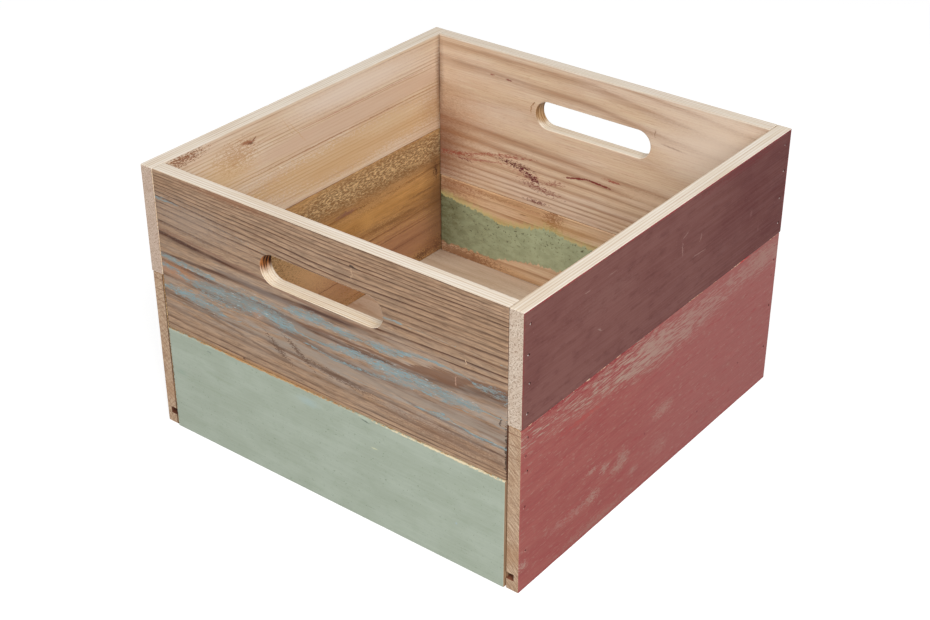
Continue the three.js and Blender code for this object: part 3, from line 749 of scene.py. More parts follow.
# Chalky red paint, rubbed back with abrasive: grey-beige scuffs along the top and in patches
redRight = {
    "color": "#96514d", "bright": "#973b3e", "pale": "#9a5852", "scuff": "#ad9687", "rough": 0.7, "seed": 51,
    "scuffBack": "#a67d75", "scuffDepth": 0.05, "gloss": 0.12, "strokes": 0.06, "film": 0.15, "lie": "YZX",
    "band": [(-190, 137, 17), (-100, 135, 18), (-50, 132, 23), (0, 130, 25), (60, 128, 22), (120, 135, 17),
             (190, 135, 18)],
    "bandAlong": [(-190, 0.42), (-100, 0.5), (-55, 0.75), (-20, 1), (40, 0.95), (80, 0.75), (140, 0.8),
                  (190, 1)],
    "mauve": "#9b5f5b", "mauveAlong": [(-190, 0), (-60, 0.1), (0, 0.5), (60, 0.8), (190, 1)],
    "edges": [("across", 149.9, -1.6), ("across", 0, 1), ("along", 189.4, -1)], "chipping": 1.45,
    "under": {"early": "#e9c9ae", "tone": "#dbb295", "late": "#b98a6a", "rough": 0.7, "fibre": 0.4,
              "pitch": 4, "waver": 2},
    "marks": [
        {"at": (-95, 59.5), "half": (9, 2), "color": "#a98b7e", "strength": 0.6, "grit": 1.7},
        {"at": (-76, 52), "half": (6, 4), "color": "#a98b7e", "strength": 0.65, "grit": 1.7},
        {"at": (-50, 47), "half": (8, 7), "color": "#a5897c", "strength": 0.6, "grit": 1.7},
        {"at": (-57, 41), "half": (8, 5), "color": "#a5897c", "strength": 0.5, "grit": 1.7},
        {"at": (-92, 33), "half": (9, 5), "color": "#a98b7e", "strength": 0.6, "grit": 1.7},
        {"at": (-115, 33), "half": (11, 4), "color": "#a57f75", "strength": 0.5, "grit": 1.7},
        {"at": (-138, 33), "half": (9, 4), "color": "#a57f75", "strength": 0.4, "grit": 1.7},
        {"at": (-184, 24), "half": (5, 4), "color": "#ad9285", "strength": 0.6, "grit": 1.7},
        {"at": (-33, 25), "half": (6, 3), "color": "#a5857a", "strength": 0.5, "grit": 1.7},
        {"at": (9, 62), "half": (13, 6), "color": "#a78478", "strength": 0.55, "grit": 1.7},
        {"at": (8, 28), "half": (13, 8), "color": "#a57a70", "strength": 0.4, "grit": 1.7},
        {"at": (-90, 5), "half": (40, 5), "color": "#9d7a6e", "strength": 0.45, "grit": 1.7},
        {"at": (-110, 118), "half": (24, 2.4), "color": "#ad4a45", "strength": 0.5, "grit": 1.7},
        {"at": (-60, 136), "half": (24, 4), "color": "#9a3f45", "strength": 0.6, "grit": 1.7},
        {"at": (134, 43.5), "half": (2, 1.2), "color": "#6b2f31", "soft": 0.6},
        {"at": (68, 28), "half": (1.5, 1.2), "color": "#75353a", "strength": 0.7, "soft": 0.6},
        {"at": (61, 44), "half": (1.2, 1.4), "color": "#7c3c3f", "strength": 0.6, "soft": 0.6},
        {"at": (122, 21), "half": (3, 2), "color": "#8c3f42", "strength": 0.6, "soft": 0.8},
        {"at": (-17, 52), "half": (1.2, 1.2), "color": "#75353a", "strength": 0.7, "soft": 0.6},
        {"at": (130, 149.6), "half": (14, 1), "color": "#c8262f", "soft": 0.6},
        {"at": (188.4, 55), "half": (1.6, 0.9), "tilt": -35, "color": "#2c0f10", "strength": 0.9},
        {"at": (-110, 148), "half": (80, 2), "color": "#8a2f35", "strength": 0.7, "grit": 1.6},
        {"at": (-80, 142), "half": (60, 1.2), "color": "#8a2f35", "strength": 0.7, "grit": 1.6},
        {"at": (160, 138), "half": (26, 10), "color": "#a5897a", "strength": 0.5, "soft": 0.9, "grit": 1.4},
        {"at": (0, 1), "half": (400, 1.6), "color": "#8c2f35", "strength": 0.6, "soft": 0.6, "grit": 1.2},
    ],
}


# Millimetres along, up and through the board. An abrasive's scratches are finer, and are drawn this coarse so
# that they show.
rubSizes = {
    "drift": (50, 12, 30), "redStreaks": (18, 1.3, 9), "bristles": (60, 1.2, 8), "dust": (8, 2.4, 8),
    "edgeLumps": (14, 5, 9), "edgeReach": (12, 8, 0), "scratches": (12, 1.3, 3),
}


def rubbedPaint(name, look):
    material, tree, space = newFinish(name, look["lie"])
    seed = look["seed"]
    broad = patches(tree, space, rubSizes["drift"], 0.38, 0.62, seed, 4)
    color = addNode(tree, "Mix", {0: broad, 6: hexColor(look["color"]), 7: hexColor(look["pale"])},
                    out=2, data_type="RGBA")
    mauve = curveOf(tree, space["along"], look["mauveAlong"])
    color = addNode(tree, "Mix", {0: mauve, 6: color, 7: hexColor(look["mauve"])}, out=2, data_type="RGBA")
    redder = patches(tree, space, rubSizes["redStreaks"], 0.54, 0.7, seed + 1, 4, 0.7)
    redder = addNode(tree, "Math", {0: redder, 1: 0.6}, operation="MULTIPLY")
    color = addNode(tree, "Mix", {0: redder, 6: color, 7: hexColor(look["bright"])}, out=2, data_type="RGBA")
    brush = patches(tree, space, rubSizes["bristles"], 0.34, 0.66, seed + 4, 3, 0.65)
    color = addNode(tree, "Mix", {0: look["strokes"], 6: color, 7: brush}, out=2, data_type="RGBA",
                    blend_type="OVERLAY")
    dust = patches(tree, space, rubSizes["dust"], 0.54, 0.72, seed + 5, 4, 0.75)
    dust = addNode(tree, "Math", {0: dust, 1: 0.4}, operation="MULTIPLY")
    color = addNode(tree, "Mix", {0: dust, 6: color, 7: hexColor(look["scuff"])}, out=2, data_type="RGBA")
    height = addNode(tree, "Math", {0: brush, 1: 0.02}, operation="MULTIPLY")
    paint = {"color": color, "rough": look["rough"], "height": height}
    paint = addMarks(tree, space, paint, look["marks"], seed)
    ragged = roughen(tree, space, rubSizes["edgeLumps"], rubSizes["edgeReach"], seed + 2)
    band = bandOf(tree, ragged, look["band"])
    share = curveOf(tree, space["along"], look["bandAlong"])
    level = addNode(tree, "Math", {0: band, 1: 1.4}, operation="MULTIPLY", use_clamp=True)
    level = addNode(tree, "Math", {0: level, 1: share}, operation="MULTIPLY")
    rub = patches(tree, space, rubSizes["scratches"], 0.32, 0.68, seed + 7, 4, 0.65)
    scraped = addNode(tree, "Math", {0: level, 1: 0.75, 2: rub}, operation="MULTIPLY_ADD")
    mask = addNode(tree, "MapRange", {0: scraped, 1: 0.8, 2: 1.35, 3: 0, 4: 0.85},
                   interpolation_type="SMOOTHSTEP")
    near = addNode(tree, "MapRange", {0: level, 1: 0.02, 2: 0.2}, interpolation_type="SMOOTHSTEP")
    mask = addNode(tree, "Math", {0: mask, 1: near}, operation="MULTIPLY")
    dust = addNode(tree, "Mix", {0: mauve, 6: hexColor(look["scuff"]), 7: hexColor(look["scuffBack"])}, out=2,
                   data_type="RGBA")
    scuffed = {"color": dust, "rough": look["rough"] + 0.15, "height": -look["scuffDepth"]}
    return chippedEdges(material, tree, space, layOver(tree, paint, scuffed, mask), look)


# Old pine planed on the inside: warm and pale, oxidised to ochre in places, with soft bands of late wood
leftInside = {
    "lie": "YZX",
    "wood": {
        "early": "#dfcab3", "tone": "#d9bfa1", "late": "#b48b68", "rough": 0.65, "fibre": 0.12, "seed": 61,
        "pores": 0.15, "waver": 2.2, "ridge": 0.02, "pitch": 3.4, "knots": [(-82, 230.5, 6)],
    },
    "marks": [
        {"at": (60, 208), "half": (170, 11), "color": "#d3b59d", "strength": 0.7, "soft": 0.35, "grit": 0.2},
        {"at": (60, 234), "half": (150, 18), "color": "#e7d7c8", "strength": 0.7, "soft": 0.8, "grit": 0.2},
        {"at": (50, 175), "half": (190, 22), "color": "#cda570", "strength": 0.6, "grit": 0.6},
        {"at": (110, 184), "half": (60, 9), "color": "#dcc4a2", "strength": 0.5, "soft": 0.7, "grit": 0.6},
        {"at": (45, 197), "half": (145, 0.7), "color": "#a06c52", "strength": 0.6, "grit": 0.6},
        {"at": (60, 219), "half": (130, 0.7), "color": "#b98470", "strength": 0.7, "grit": 0.3},
        {"at": (-82, 230.5), "half": (10, 2), "tilt": -8, "color": "#9a6248", "strength": 0.9},
        {"at": (-79, 228.5), "half": (5, 1.6), "tilt": -12, "color": "#6f3d2b", "strength": 0.85},
        {"at": (-74, 231), "half": (3, 1), "tilt": 35, "color": "#7c4a33", "strength": 0.85},
        {"at": (-155, 243), "half": (16, 4), "color": "#8a5a3c", "strength": 0.9, "soft": 0.25, "grit": 2.4},
        {"at": (-98, 222), "half": (16, 9), "color": "#a8734f", "strength": 0.6, "soft": 0.25, "grit": 2.4},
        {"at": (-100, 216), "half": (3, 0.8), "color": "#9a5f45", "strength": 0.6},
        {"at": (-115, 210), "half": (60, 30), "color": "#d9b682", "strength": 0.5, "soft": 0.9},
        {"at": (-22, 219), "half": (22, 0.7), "tilt": -52, "color": "#c9a073", "strength": 0.45},
        {"at": (-34, 228), "half": (16, 0.6), "tilt": -56, "color": "#c9a073", "strength": 0.4},
        {"at": (-45, 193), "half": (4, 0.6), "tilt": -30, "color": "#f2e6d2", "strength": 0.6},
        # painted shade: darker into the back corner
        {"at": (178, 198), "half": (9, 80), "color": "#6b4630", "strength": 0.75, "soft": 1, "grit": 0.2},
        {"at": (178, 180), "half": (40, 45), "color": "#a47a55", "strength": 0.45, "soft": 1, "grit": 0.2},
    ],
}
# The lower boards inside: ochre where the finish yellowed, darker in the back corner near the floor as
# painted shade
leftInsideLower = {
    "lie": "YZX",
    "wood": {
        "early": "#ba8f5c", "tone": "#a0764a", "late": "#83572f", "rough": 0.7, "fibre": 0.2, "seed": 71,
        "fibreSize": (12, 1, 1), "pores": 0.35, "waver": 6, "ridge": 0.03, "pitch": 8,
    },
    # grain torn up by a blunt planer: short pale tufts on dark hollows, with sizes in millimetres. The tufts'
    # fibres are finer, and are drawn in bunches 1.2 mm wide so that they show.
    "torn": {
        "band": [(-190, 98, 58), (-110, 106, 50), (-60, 110, 45), (-24, 112, 43), (4, 135, 20),
                 (60, 134, 22), (120, 134, 22), (190, 134, 20)],
        "tuft": (3.6, 1.2, 3), "tuftHeight": 0.4, "edgeLumps": (12, 4, 9), "edgeReach": (20, 11, 0),
        "dark": "#94704a", "light": "#ecc995", "strength": 0.95,
    },
    "marks": [
        {"at": (60, 97), "half": (190, 18), "color": "#c08e4c", "strength": 0.5, "soft": 0.7, "grit": 0.8},
        # painted light: these two paler patches lift the stretch that the front wall shades
        {"at": (-100, 68), "half": (80, 34), "color": "#d9b069", "soft": 0.7, "grit": 1.2},
        {"at": (-8, 60), "half": (90, 30), "tilt": -40, "color": "#dcb384", "strength": 0.85, "soft": 0.8,
         "grit": 0.8},
        {"at": (66, 92), "half": (13, 12), "tilt": 50, "color": "#c8985a", "strength": 0.55, "grit": 1},
        {"at": (95, 45), "half": (150, 32), "color": "#a8795c", "strength": 0.7, "soft": 0.6, "grit": 0.8},
        {"at": (120, 46), "half": (90, 5), "color": "#8a5f45", "strength": 0.6, "soft": 0.9, "grit": 0.8},
        {"at": (100, 78), "half": (60, 5), "tilt": -4, "color": "#7d5634", "strength": 0.6, "soft": 0.8,
         "grit": 1.4},
        {"at": (20, 88), "half": (40, 6), "tilt": 5, "color": "#89602f", "strength": 0.6, "soft": 0.8,
         "grit": 1.4},
        {"at": (120, 121), "half": (65, 6), "color": "#7c5c38", "strength": 0.45, "soft": 0.7, "grit": 1.8},
        {"at": (-20, 124), "half": (90, 6), "color": "#8a6338", "strength": 0.4, "grit": 2},
        {"at": (90, 110), "half": (50, 5), "tilt": 5, "color": "#c39a68", "strength": 0.5, "soft": 0.6,
         "grit": 2},
        {"at": (-20, 151.5), "half": (60, 2.2), "color": "#957064"},
        {"at": (38, 113), "half": (14, 2), "color": "#835850", "strength": 0.75, "soft": 0.4, "grit": 1.6},
        {"at": (145, 151), "half": (14, 1.6), "color": "#835850", "strength": 0.6, "grit": 1.2},
        {"at": (150, 91), "half": (24, 1.2), "color": "#6a4a30", "strength": 0.6, "grit": 1},
        {"at": (171, 107), "half": (3, 8), "color": "#3f2a1d", "strength": 0.9, "grit": 1.6},
        {"at": (148, 21), "half": (10, 4), "color": "#4f3122", "strength": 0.85, "soft": 0.3, "grit": 2.4},
        {"at": (172, 22), "half": (6, 8), "color": "#4f3122", "soft": 0.4, "grit": 2},
        {"at": (120, 60), "half": (60, 0.9), "color": "#6f4230", "strength": 0.6, "grit": 0.3},
        {"at": (60, 46), "half": (120, 0.8), "color": "#7d4e39", "strength": 0.7, "grit": 0.3},
        # painted shade: darker into the back corner and down to the floor
        {"at": (178, 80), "half": (34, 100), "color": "#5a381f", "strength": 0.65, "soft": 1, "grit": 0.2},
        {"at": (163, 26), "half": (28, 16), "color": "#7c5138", "strength": 0.6, "soft": 0.9, "grit": 0.6},
    ],
}
backInside = {
    "lie": "XZY",
    "wood": {
        "early": "#ddc6af", "tone": "#d7bc9f", "late": "#8d5934", "rough": 0.65, "fibre": 0.12, "seed": 81,
        "pores": 0.18, "waver": 1.8, "ridge": 0.02, "heart": 7.5,
        "profile": [(0, 0.3), (1, 0.45), (0.25, 0), (0.5, 0.1), (0.75, 0.6), (0.9, 0.85)],
        "lines": [
            (96, 96, 96, 0.4), (104, 103, 102, 0.6), (109, 108, 107, 0.7), (114, 113, 112, 0.8),
            (120, 118, 116, 0.8), (129, 126, 122, 0.6), (138, 136, 132, 0.7), (149, 143, 137, 0.8),
            (167, 158, 149, 0.8), (205, 200, 176, 0.1), (229, 224, 204, 0.7), (243, 243, 218, 0.6),
            (250, 249, 234, 0.6), (258, 256, 246, 0.5),
        ],
        "toLeft": [(-190, 1), (0, 0), (190, 0)],
        "toRight": [(-190, 0), (0, 0), (190, 1)],
    },
    "marks": [
        # painted shade: darker towards the left corner
        {"at": (-170, 150), "half": (90, 75), "color": "#b08058", "strength": 0.6, "soft": 1, "grit": 0.2},
        {"at": (-184, 130), "half": (60, 85), "color": "#73432c", "soft": 1, "grit": 0.2},
        {"at": (-177.5, 205), "half": (8, 62), "color": "#6b452c", "strength": 0.6, "soft": 1, "grit": 0.2},
        {"at": (70, 146), "half": (45, 12), "color": "#e2c7aa", "strength": 0.5, "soft": 0.9},
        # painted light: paler towards the upper right
        {"at": (130, 215), "half": (90, 60), "color": "#e4d2bf", "soft": 1, "grit": 0.2},
        {"at": (-66, 206), "half": (3.4, 0.8), "tilt": 48, "color": "#8a5c36", "strength": 0.85},
        {"at": (-68, 200), "half": (0.9, 6), "tilt": -4, "color": "#9a6d45", "strength": 0.75, "soft": 0.6},
        {"at": (66, 213), "half": (0.7, 5), "color": "#8a5f45", "strength": 0.7, "soft": 0.6},
        {"at": (85, 204), "half": (16, 1.2), "tilt": -5, "color": "#a48472", "strength": 0.6, "soft": 0.7},
        {"at": (-113, 222.5), "half": (3.4, 1), "color": "#8c4a3c", "soft": 0.6},
        {"at": (-94, 222), "half": (4.6, 1.1), "tilt": -3, "color": "#7c3a33", "strength": 0.85,
         "soft": 0.6},
        {"at": (-90, 144), "half": (24, 1.4), "tilt": 9, "color": "#94493a", "strength": 0.75, "grit": 1.6},
        {"at": (-130, 136), "half": (44, 1.5), "tilt": 14, "color": "#9c5340", "strength": 0.6, "grit": 2},
        {"at": (-160, 129.5), "half": (22, 1.6), "tilt": 6, "color": "#94493a", "strength": 0.75,
         "grit": 1.6},
        {"at": (-147, 126), "half": (8, 1.3), "color": "#6f352e", "grit": 1.8},
        {"at": (-76, 133), "half": (30, 8), "tilt": -14, "color": "#b0705e", "strength": 0.45, "soft": 0.9,
         "grit": 1.6},
        {"at": (-84, 137.5), "half": (16, 2.6), "tilt": -3, "color": "#57181f", "strength": 1, "grit": 1.7},
        {"at": (-69, 131.5), "half": (12, 3.2), "tilt": -22, "color": "#64202a", "strength": 1, "grit": 1.7},
        {"at": (-58, 121), "half": (16, 2.4), "tilt": -6, "color": "#7c3a34", "strength": 0.7,
         "soft": 0.35, "grit": 2.6},
        {"at": (-59, 106), "half": (10, 1.6), "color": "#6f302c", "soft": 0.4, "grit": 2},
        {"at": (-39, 131.5), "half": (9, 1.8), "tilt": 16, "color": "#8c4438", "strength": 0.7,
         "soft": 0.4, "grit": 2.2},
        {"at": (-16, 144), "half": (15, 1.4), "tilt": 12, "color": "#7a2c2a", "strength": 0.95},
        {"at": (10, 145.8), "half": (17, 1.4), "tilt": -4, "color": "#7a2c2a", "strength": 0.95},
        {"at": (24, 153), "half": (11, 1.5), "color": "#9a4a3c", "grit": 0.8},
        {"at": (-122, 131), "half": (30, 1.2), "tilt": 10, "color": "#a1584a", "strength": 0.6, "grit": 1.2},
    ],
}
backInsideLower = {
    "lie": "XZY",
    "wood": {
        "early": "#dcbf9f", "tone": "#cfa981", "late": "#a97e58", "rough": 0.7, "fibre": 0.15, "seed": 91,
        "pores": 0.3, "waver": 4, "ridge": 0.02, "pitch": 9,
    },
    # green paint that reached the inner face: a ragged band with a yellow halo and dark specks. Top and foot
    # are its edges' heights along the board, and the tones go from left to right colour.
    "spill": {
        "top": [(-190, 80.5), (-175, 79), (-158, 77), (-135, 74), (-116, 72), (-105, 68), (-80, 71),
                (-51, 79), (-39, 80), (-24, 77), (-13, 76), (3, 75), (90, 78), (190, 74)],
        "foot": [(-190, 26), (-175, 26), (-132, 27), (-108, 27), (-80, 34), (-59, 38), (-42, 39), (-28, 40),
                 (60, 36), (190, 30)],
        "left": "#5d5c3d", "right": "#b3be9b",
        "tones": [(-190, 0), (-172, 0.05), (-160, 0.2), (-147, 0.38), (-134, 0.56), (-100, 0.78), (-60, 1),
                  (190, 1)],
        "halo": "#c2bb7c", "speck": "#4d4730", "scratch": "#b3bb98", "thickness": 0.2, "speckDepth": 0.1,
        "edgeLumps": (4, 9, 9), "edgeReach": (5, 13, 0), "mottle": (14, 8, 9), "scratches": (5, 4, 9),
        "specks": (3.4, 2.6, 9),
    },
    "marks": [
        {"at": (-40, 92), "half": (9, 12), "color": "#8c5a35", "strength": 0.75, "grit": 1.8},
        {"at": (-105, 95), "half": (60, 2), "color": "#94663f", "strength": 0.5, "soft": 0.6, "grit": 1.2},
        {"at": (-155, 93), "half": (50, 11), "color": "#a8714e", "strength": 0.6, "soft": 0.9, "grit": 0.6},
        {"at": (-30, 88), "half": (60, 7), "color": "#bd9258", "strength": 0.4, "soft": 0.9},
        {"at": (-75, 87), "half": (7, 0.8), "tilt": 6, "color": "#8c6136", "strength": 0.7},
        {"at": (-134, 23), "half": (2, 6), "tilt": -20, "color": "#8c5a35", "strength": 0.6, "soft": 0.6},
        {"at": (-150, 19), "half": (60, 8), "color": "#7f5538", "strength": 0.75, "soft": 0.6, "grit": 0.8},
        # painted shade: darker into the left corner
        {"at": (-184, 70), "half": (56, 92), "color": "#6e4429", "strength": 0.7, "soft": 1, "grit": 0.2},
    ],
}


def agedPine(name, look):
    material, tree, space = newFinish(name, look["lie"])
    seed = look["wood"]["seed"]
    wood = woodSurface(tree, space, look["wood"])
    if "torn" in look:
        wood = tornGrain(tree, space, wood, look["torn"], seed)
    wood = addMarks(tree, space, wood, look["marks"], seed)
    if "spill" in look:
        wood = spilledPaint(tree, space, wood, look["spill"], seed)
    closeFinish(tree, wood, gloss=0.3)
    return material


def tornGrain(tree, space, wood, torn, seed):
    ragged = roughen(tree, space, torn["edgeLumps"], torn["edgeReach"], seed + 5)
    band = bandOf(tree, ragged, torn["band"])
    tuft = patches(tree, space, torn["tuft"], 0.42, 0.62, seed + 6, 4, 0.65)
    color = addNode(tree, "Mix", {0: tuft, 6: hexColor(torn["dark"]), 7: hexColor(torn["light"])}, out=2,
                    data_type="RGBA")
    height = addNode(tree, "Math", {0: tuft, 1: torn["tuftHeight"]}, operation="MULTIPLY")
    mask = addNode(tree, "MapRange", {0: band, 1: 0, 2: 0.8, 4: torn["strength"]},
                   interpolation_type="SMOOTHSTEP")
    return layOver(tree, wood, {"color": color, "rough": 0.6, "height": height}, mask)


def spilledPaint(tree, space, wood, spill, seed):
    ragged = roughen(tree, space, spill["edgeLumps"], spill["edgeReach"], seed + 3)
    top = curveOf(tree, ragged["along"], spill["top"])
    foot = curveOf(tree, ragged["along"], spill["foot"])
    below = addNode(tree, "Math", {0: top, 1: ragged["across"]}, operation="SUBTRACT")
    above = addNode(tree, "Math", {0: ragged["across"], 1: foot}, operation="SUBTRACT")
    inside = addNode(tree, "Math", {0: below, 1: above}, operation="MINIMUM")
    # the oil soaked in from 9 mm above the band's top edge to 14 mm below it
    halo = addNode(tree, "MapRange", {0: below, 1: -9, 2: 1, 3: 0, 4: 0.75}, interpolation_type="SMOOTHSTEP")
    fading = addNode(tree, "MapRange", {0: below, 1: 14, 2: 3}, interpolation_type="SMOOTHSTEP")
    halo = addNode(tree, "Math", {0: halo, 1: fading}, operation="MULTIPLY")
    wood["color"] = addNode(tree, "Mix", {0: halo, 6: wood["color"], 7: hexColor(spill["halo"])}, out=2,
                            data_type="RGBA")
    tone = curveOf(tree, space["along"], spill["tones"])
    mottle = patches(tree, space, spill["mottle"], 0.36, 0.64, seed + 8, 4, 0.65)
    tone = addNode(tree, "Mix", {0: 0.22, 2: tone, 3: mottle})
    green = addNode(tree, "Mix", {0: tone, 6: hexColor(spill["left"]), 7: hexColor(spill["right"])}, out=2,
                    data_type="RGBA")
    scratched = patches(tree, space, spill["scratches"], 0.6, 0.7, seed + 12, 4, 0.75)
    scratched = addNode(tree, "Math", {0: scratched, 1: 0.35}, operation="MULTIPLY")
    green = addNode(tree, "Mix", {0: scratched, 6: green, 7: hexColor(spill["scratch"])}, out=2,
                    data_type="RGBA")
    specks = patches(tree, space, spill["specks"], 0.58, 0.66, seed + 9, 3, 0.7)
    fewer = addNode(tree, "MapRange", {0: above, 1: 5, 2: 30, 3: 0.15, 4: 0.85})
    specks = addNode(tree, "Math", {0: specks, 1: fewer}, operation="MULTIPLY")
    green = addNode(tree, "Mix", {0: specks, 6: green, 7: hexColor(spill["speck"])}, out=2, data_type="RGBA")
    dent = addNode(tree, "Math", {0: specks, 1: -spill["speckDepth"]}, operation="MULTIPLY")
    film = {"color": green, "rough": 0.6, "height": dent}
    mask = addNode(tree, "MapRange", {0: inside, 1: -0.8, 2: 0.8}, interpolation_type="SMOOTHSTEP")
    return layOver(tree, wood, film, mask, spill["thickness"])


# Sanded plywood: rotary-cut face veneer, greyish beige with broad soft figure; its edge, set in the grooves,
# is painted dark as shade
plyLook = {
    "lie": "XYZ",
    "wood": {
        "early": "#cdb9a4", "tone": "#c4ad96", "late": "#b0957b", "rough": 0.7, "fibre": 0.08, "seed": 101,
        "waver": 16, "ridge": 0.01, "pitch": 14,
    },
    "marks": [
        # painted shade: darker in the back-left corner and along the left wall
        {"at": (-185, 185), "half": (55, 48), "color": "#8a6a51", "soft": 1, "grit": 0.2},
        {"at": (-185, -10), "half": (62, 130), "color": "#a0714f", "strength": 0.6, "soft": 1, "grit": 0.2},
        {"at": (40, 130), "half": (170, 60), "color": "#dac7b2", "strength": 0.5, "soft": 1, "grit": 1},
    ],
}
# painted shade: the edge's dark colour stands for the shade in the grooves
shadedPlyEdge = {
    "early": "#8a6847", "tone": "#7c5a3b", "late": "#4e3421", "rough": 0.8, "fibre": 0.3, "pitch": 1.2,
    "waver": 0.6,
}


# Bright steel wire, drawn flat: grey and shiny, a little dulled on the hammered heads. Its dull spots are
# tenths of a millimetre wide, and are drawn 0.8 mm wide so that they show.
steelLook = {
    "bright": "#b9b9b6", "dull": "#7c7a76", "spots": (0.8, 0.8, 0.8), "roughBright": 0.25, "roughDull": 0.5,
    "dent": 0.03, "seed": 5,
}


def drawnSteel(name, look):
    material, tree, space = newFinish(name, "XYZ")
    dull = streaks(tree, space, look["spots"], look["seed"], 3)
    tone = addNode(tree, "MapRange", {0: dull, 1: 0.4, 2: 0.65}, interpolation_type="SMOOTHSTEP")
    color = addNode(tree, "Mix", {0: tone, 6: hexColor(look["bright"]), 7: hexColor(look["dull"])}, out=2,
                    data_type="RGBA")
    rough = addNode(tree, "MapRange", {0: dull, 1: 0.3, 2: 0.7, 3: look["roughBright"], 4: look["roughDull"]})
    height = addNode(tree, "Math", {0: dull, 1: look["dent"]}, operation="MULTIPLY")
    normal = addNode(tree, "Bump", {"Strength": 1, "Distance": mm, "Height": height})
    shader = addNode(tree, "BsdfPrincipled", {"Base Color": color, "Metallic": 1, "Roughness": rough,
                                              "Normal": normal})
    addNode(tree, "OutputMaterial", {"Surface": shader})
    return material


print("finishes are written")


# A board is swept along its grain, with worn arrises and chips, always inwards of the CAD's solid
def axisPlace(lie, outward, along, across, through):
    # Puts a point given along, across and through the board onto the frame's axes
    place = [0, 0, 0]
    for axis, value in zip(lie, (along, across, outward * through)):
        place["XYZ".index(axis)] = value * mm
    return Vector(place)


def spread(low, high, gap, near=(0.8, 2.2)):
    # Places from low to high, closer together near both ends, where the wear is
    if high - low < 3 * near[-1]:
        return [low + (high - low) * share for share in (0.25, 0.5, 0.75)]
    atLow = [low + distance for distance in near]
    atHigh = [high - distance for distance in reversed(near)]
    count = max(1, round((atHigh[0] - atLow[-1]) / gap))
    middle = [atLow[-1] + (atHigh[0] - atLow[-1]) * i / count for i in range(1, count)]
    return atLow + middle + atHigh


def sectionOf(look, wide, thick):
    # The board's section as points (across, through from the outer face), each with its way inwards and side
    arris = look["arris"]
    rim = look["rimArris"] if look["rim"] else arris
    gap = look["rowGap"]
    points = []

    def arc(across, through, radius, start, side):
        for i in range(look["arcSteps"] + 1):
            turn = math.radians(start + 90 * i / look["arcSteps"])
            away = Vector((math.sin(turn), -math.cos(turn)))
            points.append((Vector((across, through)) + away * radius, -away, side))

    def face(places, side, inwards):
        for spot in places:
            points.append((Vector(spot), Vector(inwards), side))

    face([(c, 0) for c in spread(arris, wide - rim, gap)], "outer", (0, 1))
    arc(wide - rim, rim, rim, 0, "top" if look["rim"] else "outer")
    face([(wide, t) for t in spread(rim, thick - rim, gap)], "top", (-1, 0))
    arc(wide - rim, thick - rim, rim, 90, "top" if look["rim"] else "inner")
    if "groove" in look:
        low, high, depth = look["groove"]
        face([(c, thick) for c in reversed(spread(high, wide - rim, gap))], "inner", (0, -1))
        face([(high, thick), (high, thick - depth)], "groove", (0.7, -0.7))
        face([(low, thick - depth)], "groove", (-0.7, -0.7))
        face([(low, thick)], "inner", (-0.7, -0.7))
        face([(c, thick) for c in reversed(spread(arris, low, gap))], "inner", (0, -1))
    else:
        face([(c, thick) for c in reversed(spread(arris, wide - rim, gap))], "inner", (0, -1))
    arc(arris, thick - arris, arris, 180, "bottom")
    face([(0, t) for t in reversed(spread(arris, thick - arris, gap))], "bottom", (1, 0))
    arc(arris, arris, arris, 270, "outer")
    return points


# Wear along an arris, in millimetres: the lengths of its rubbed, nicked and splintered stretches, and how
# deep it may go. A round arris clears its own sharp corner by the tip share of its radius.
arrisWear = {"rubbed": 26, "nicked": 5, "splintered": 1.7, "chipGrit": 1.3, "deepest": 2.2, "tip": 0.41}
boardCorners = ("outerTop", "innerTop", "innerFoot", "outerFoot")


def cornerWear(look, along, seed):
    # How deep each long arris is worn or chipped at this station, measured from its sharp corner
    depths = {}
    for i, corner in enumerate(boardCorners):
        rub = noise.noise(Vector((along / arrisWear["rubbed"], seed + 9 * i, 0)))
        nick = noise.noise(Vector((along / arrisWear["nicked"], seed + 9 * i, 4)))
        splinter = noise.noise(Vector((along / arrisWear["splintered"], i, seed)))
        grit = noise.noise(Vector((along / arrisWear["chipGrit"], i, seed)))
        radius = look["rimArris"] if look["rim"] and "Top" in corner else look["arris"]
        deep = arrisWear["tip"] * radius + look["rub"] * max(0, 0.3 + rub)
        deep += look["nick"] * max(0, nick + 0.4 * splinter - 0.35)
        for edge, middle, half, chip in look["chips"]:
            if edge == corner:
                share = max(0, min(1, 2.2 - 2.2 * abs(along - middle) / half))
                deep += chip * share * (1 + 0.35 * grit)
        depths[corner] = min(deep, arrisWear["deepest"])
    return depths


# Lengths in millimetres over which a face bows, how rough a worn arris is, and how far inside the CAD's
# solid every point of a side stays
faceWear = {"bowAlong": 70, "bowAcross": 24, "bowThrough": 40, "rough": 0.12, "inset": 0.02}


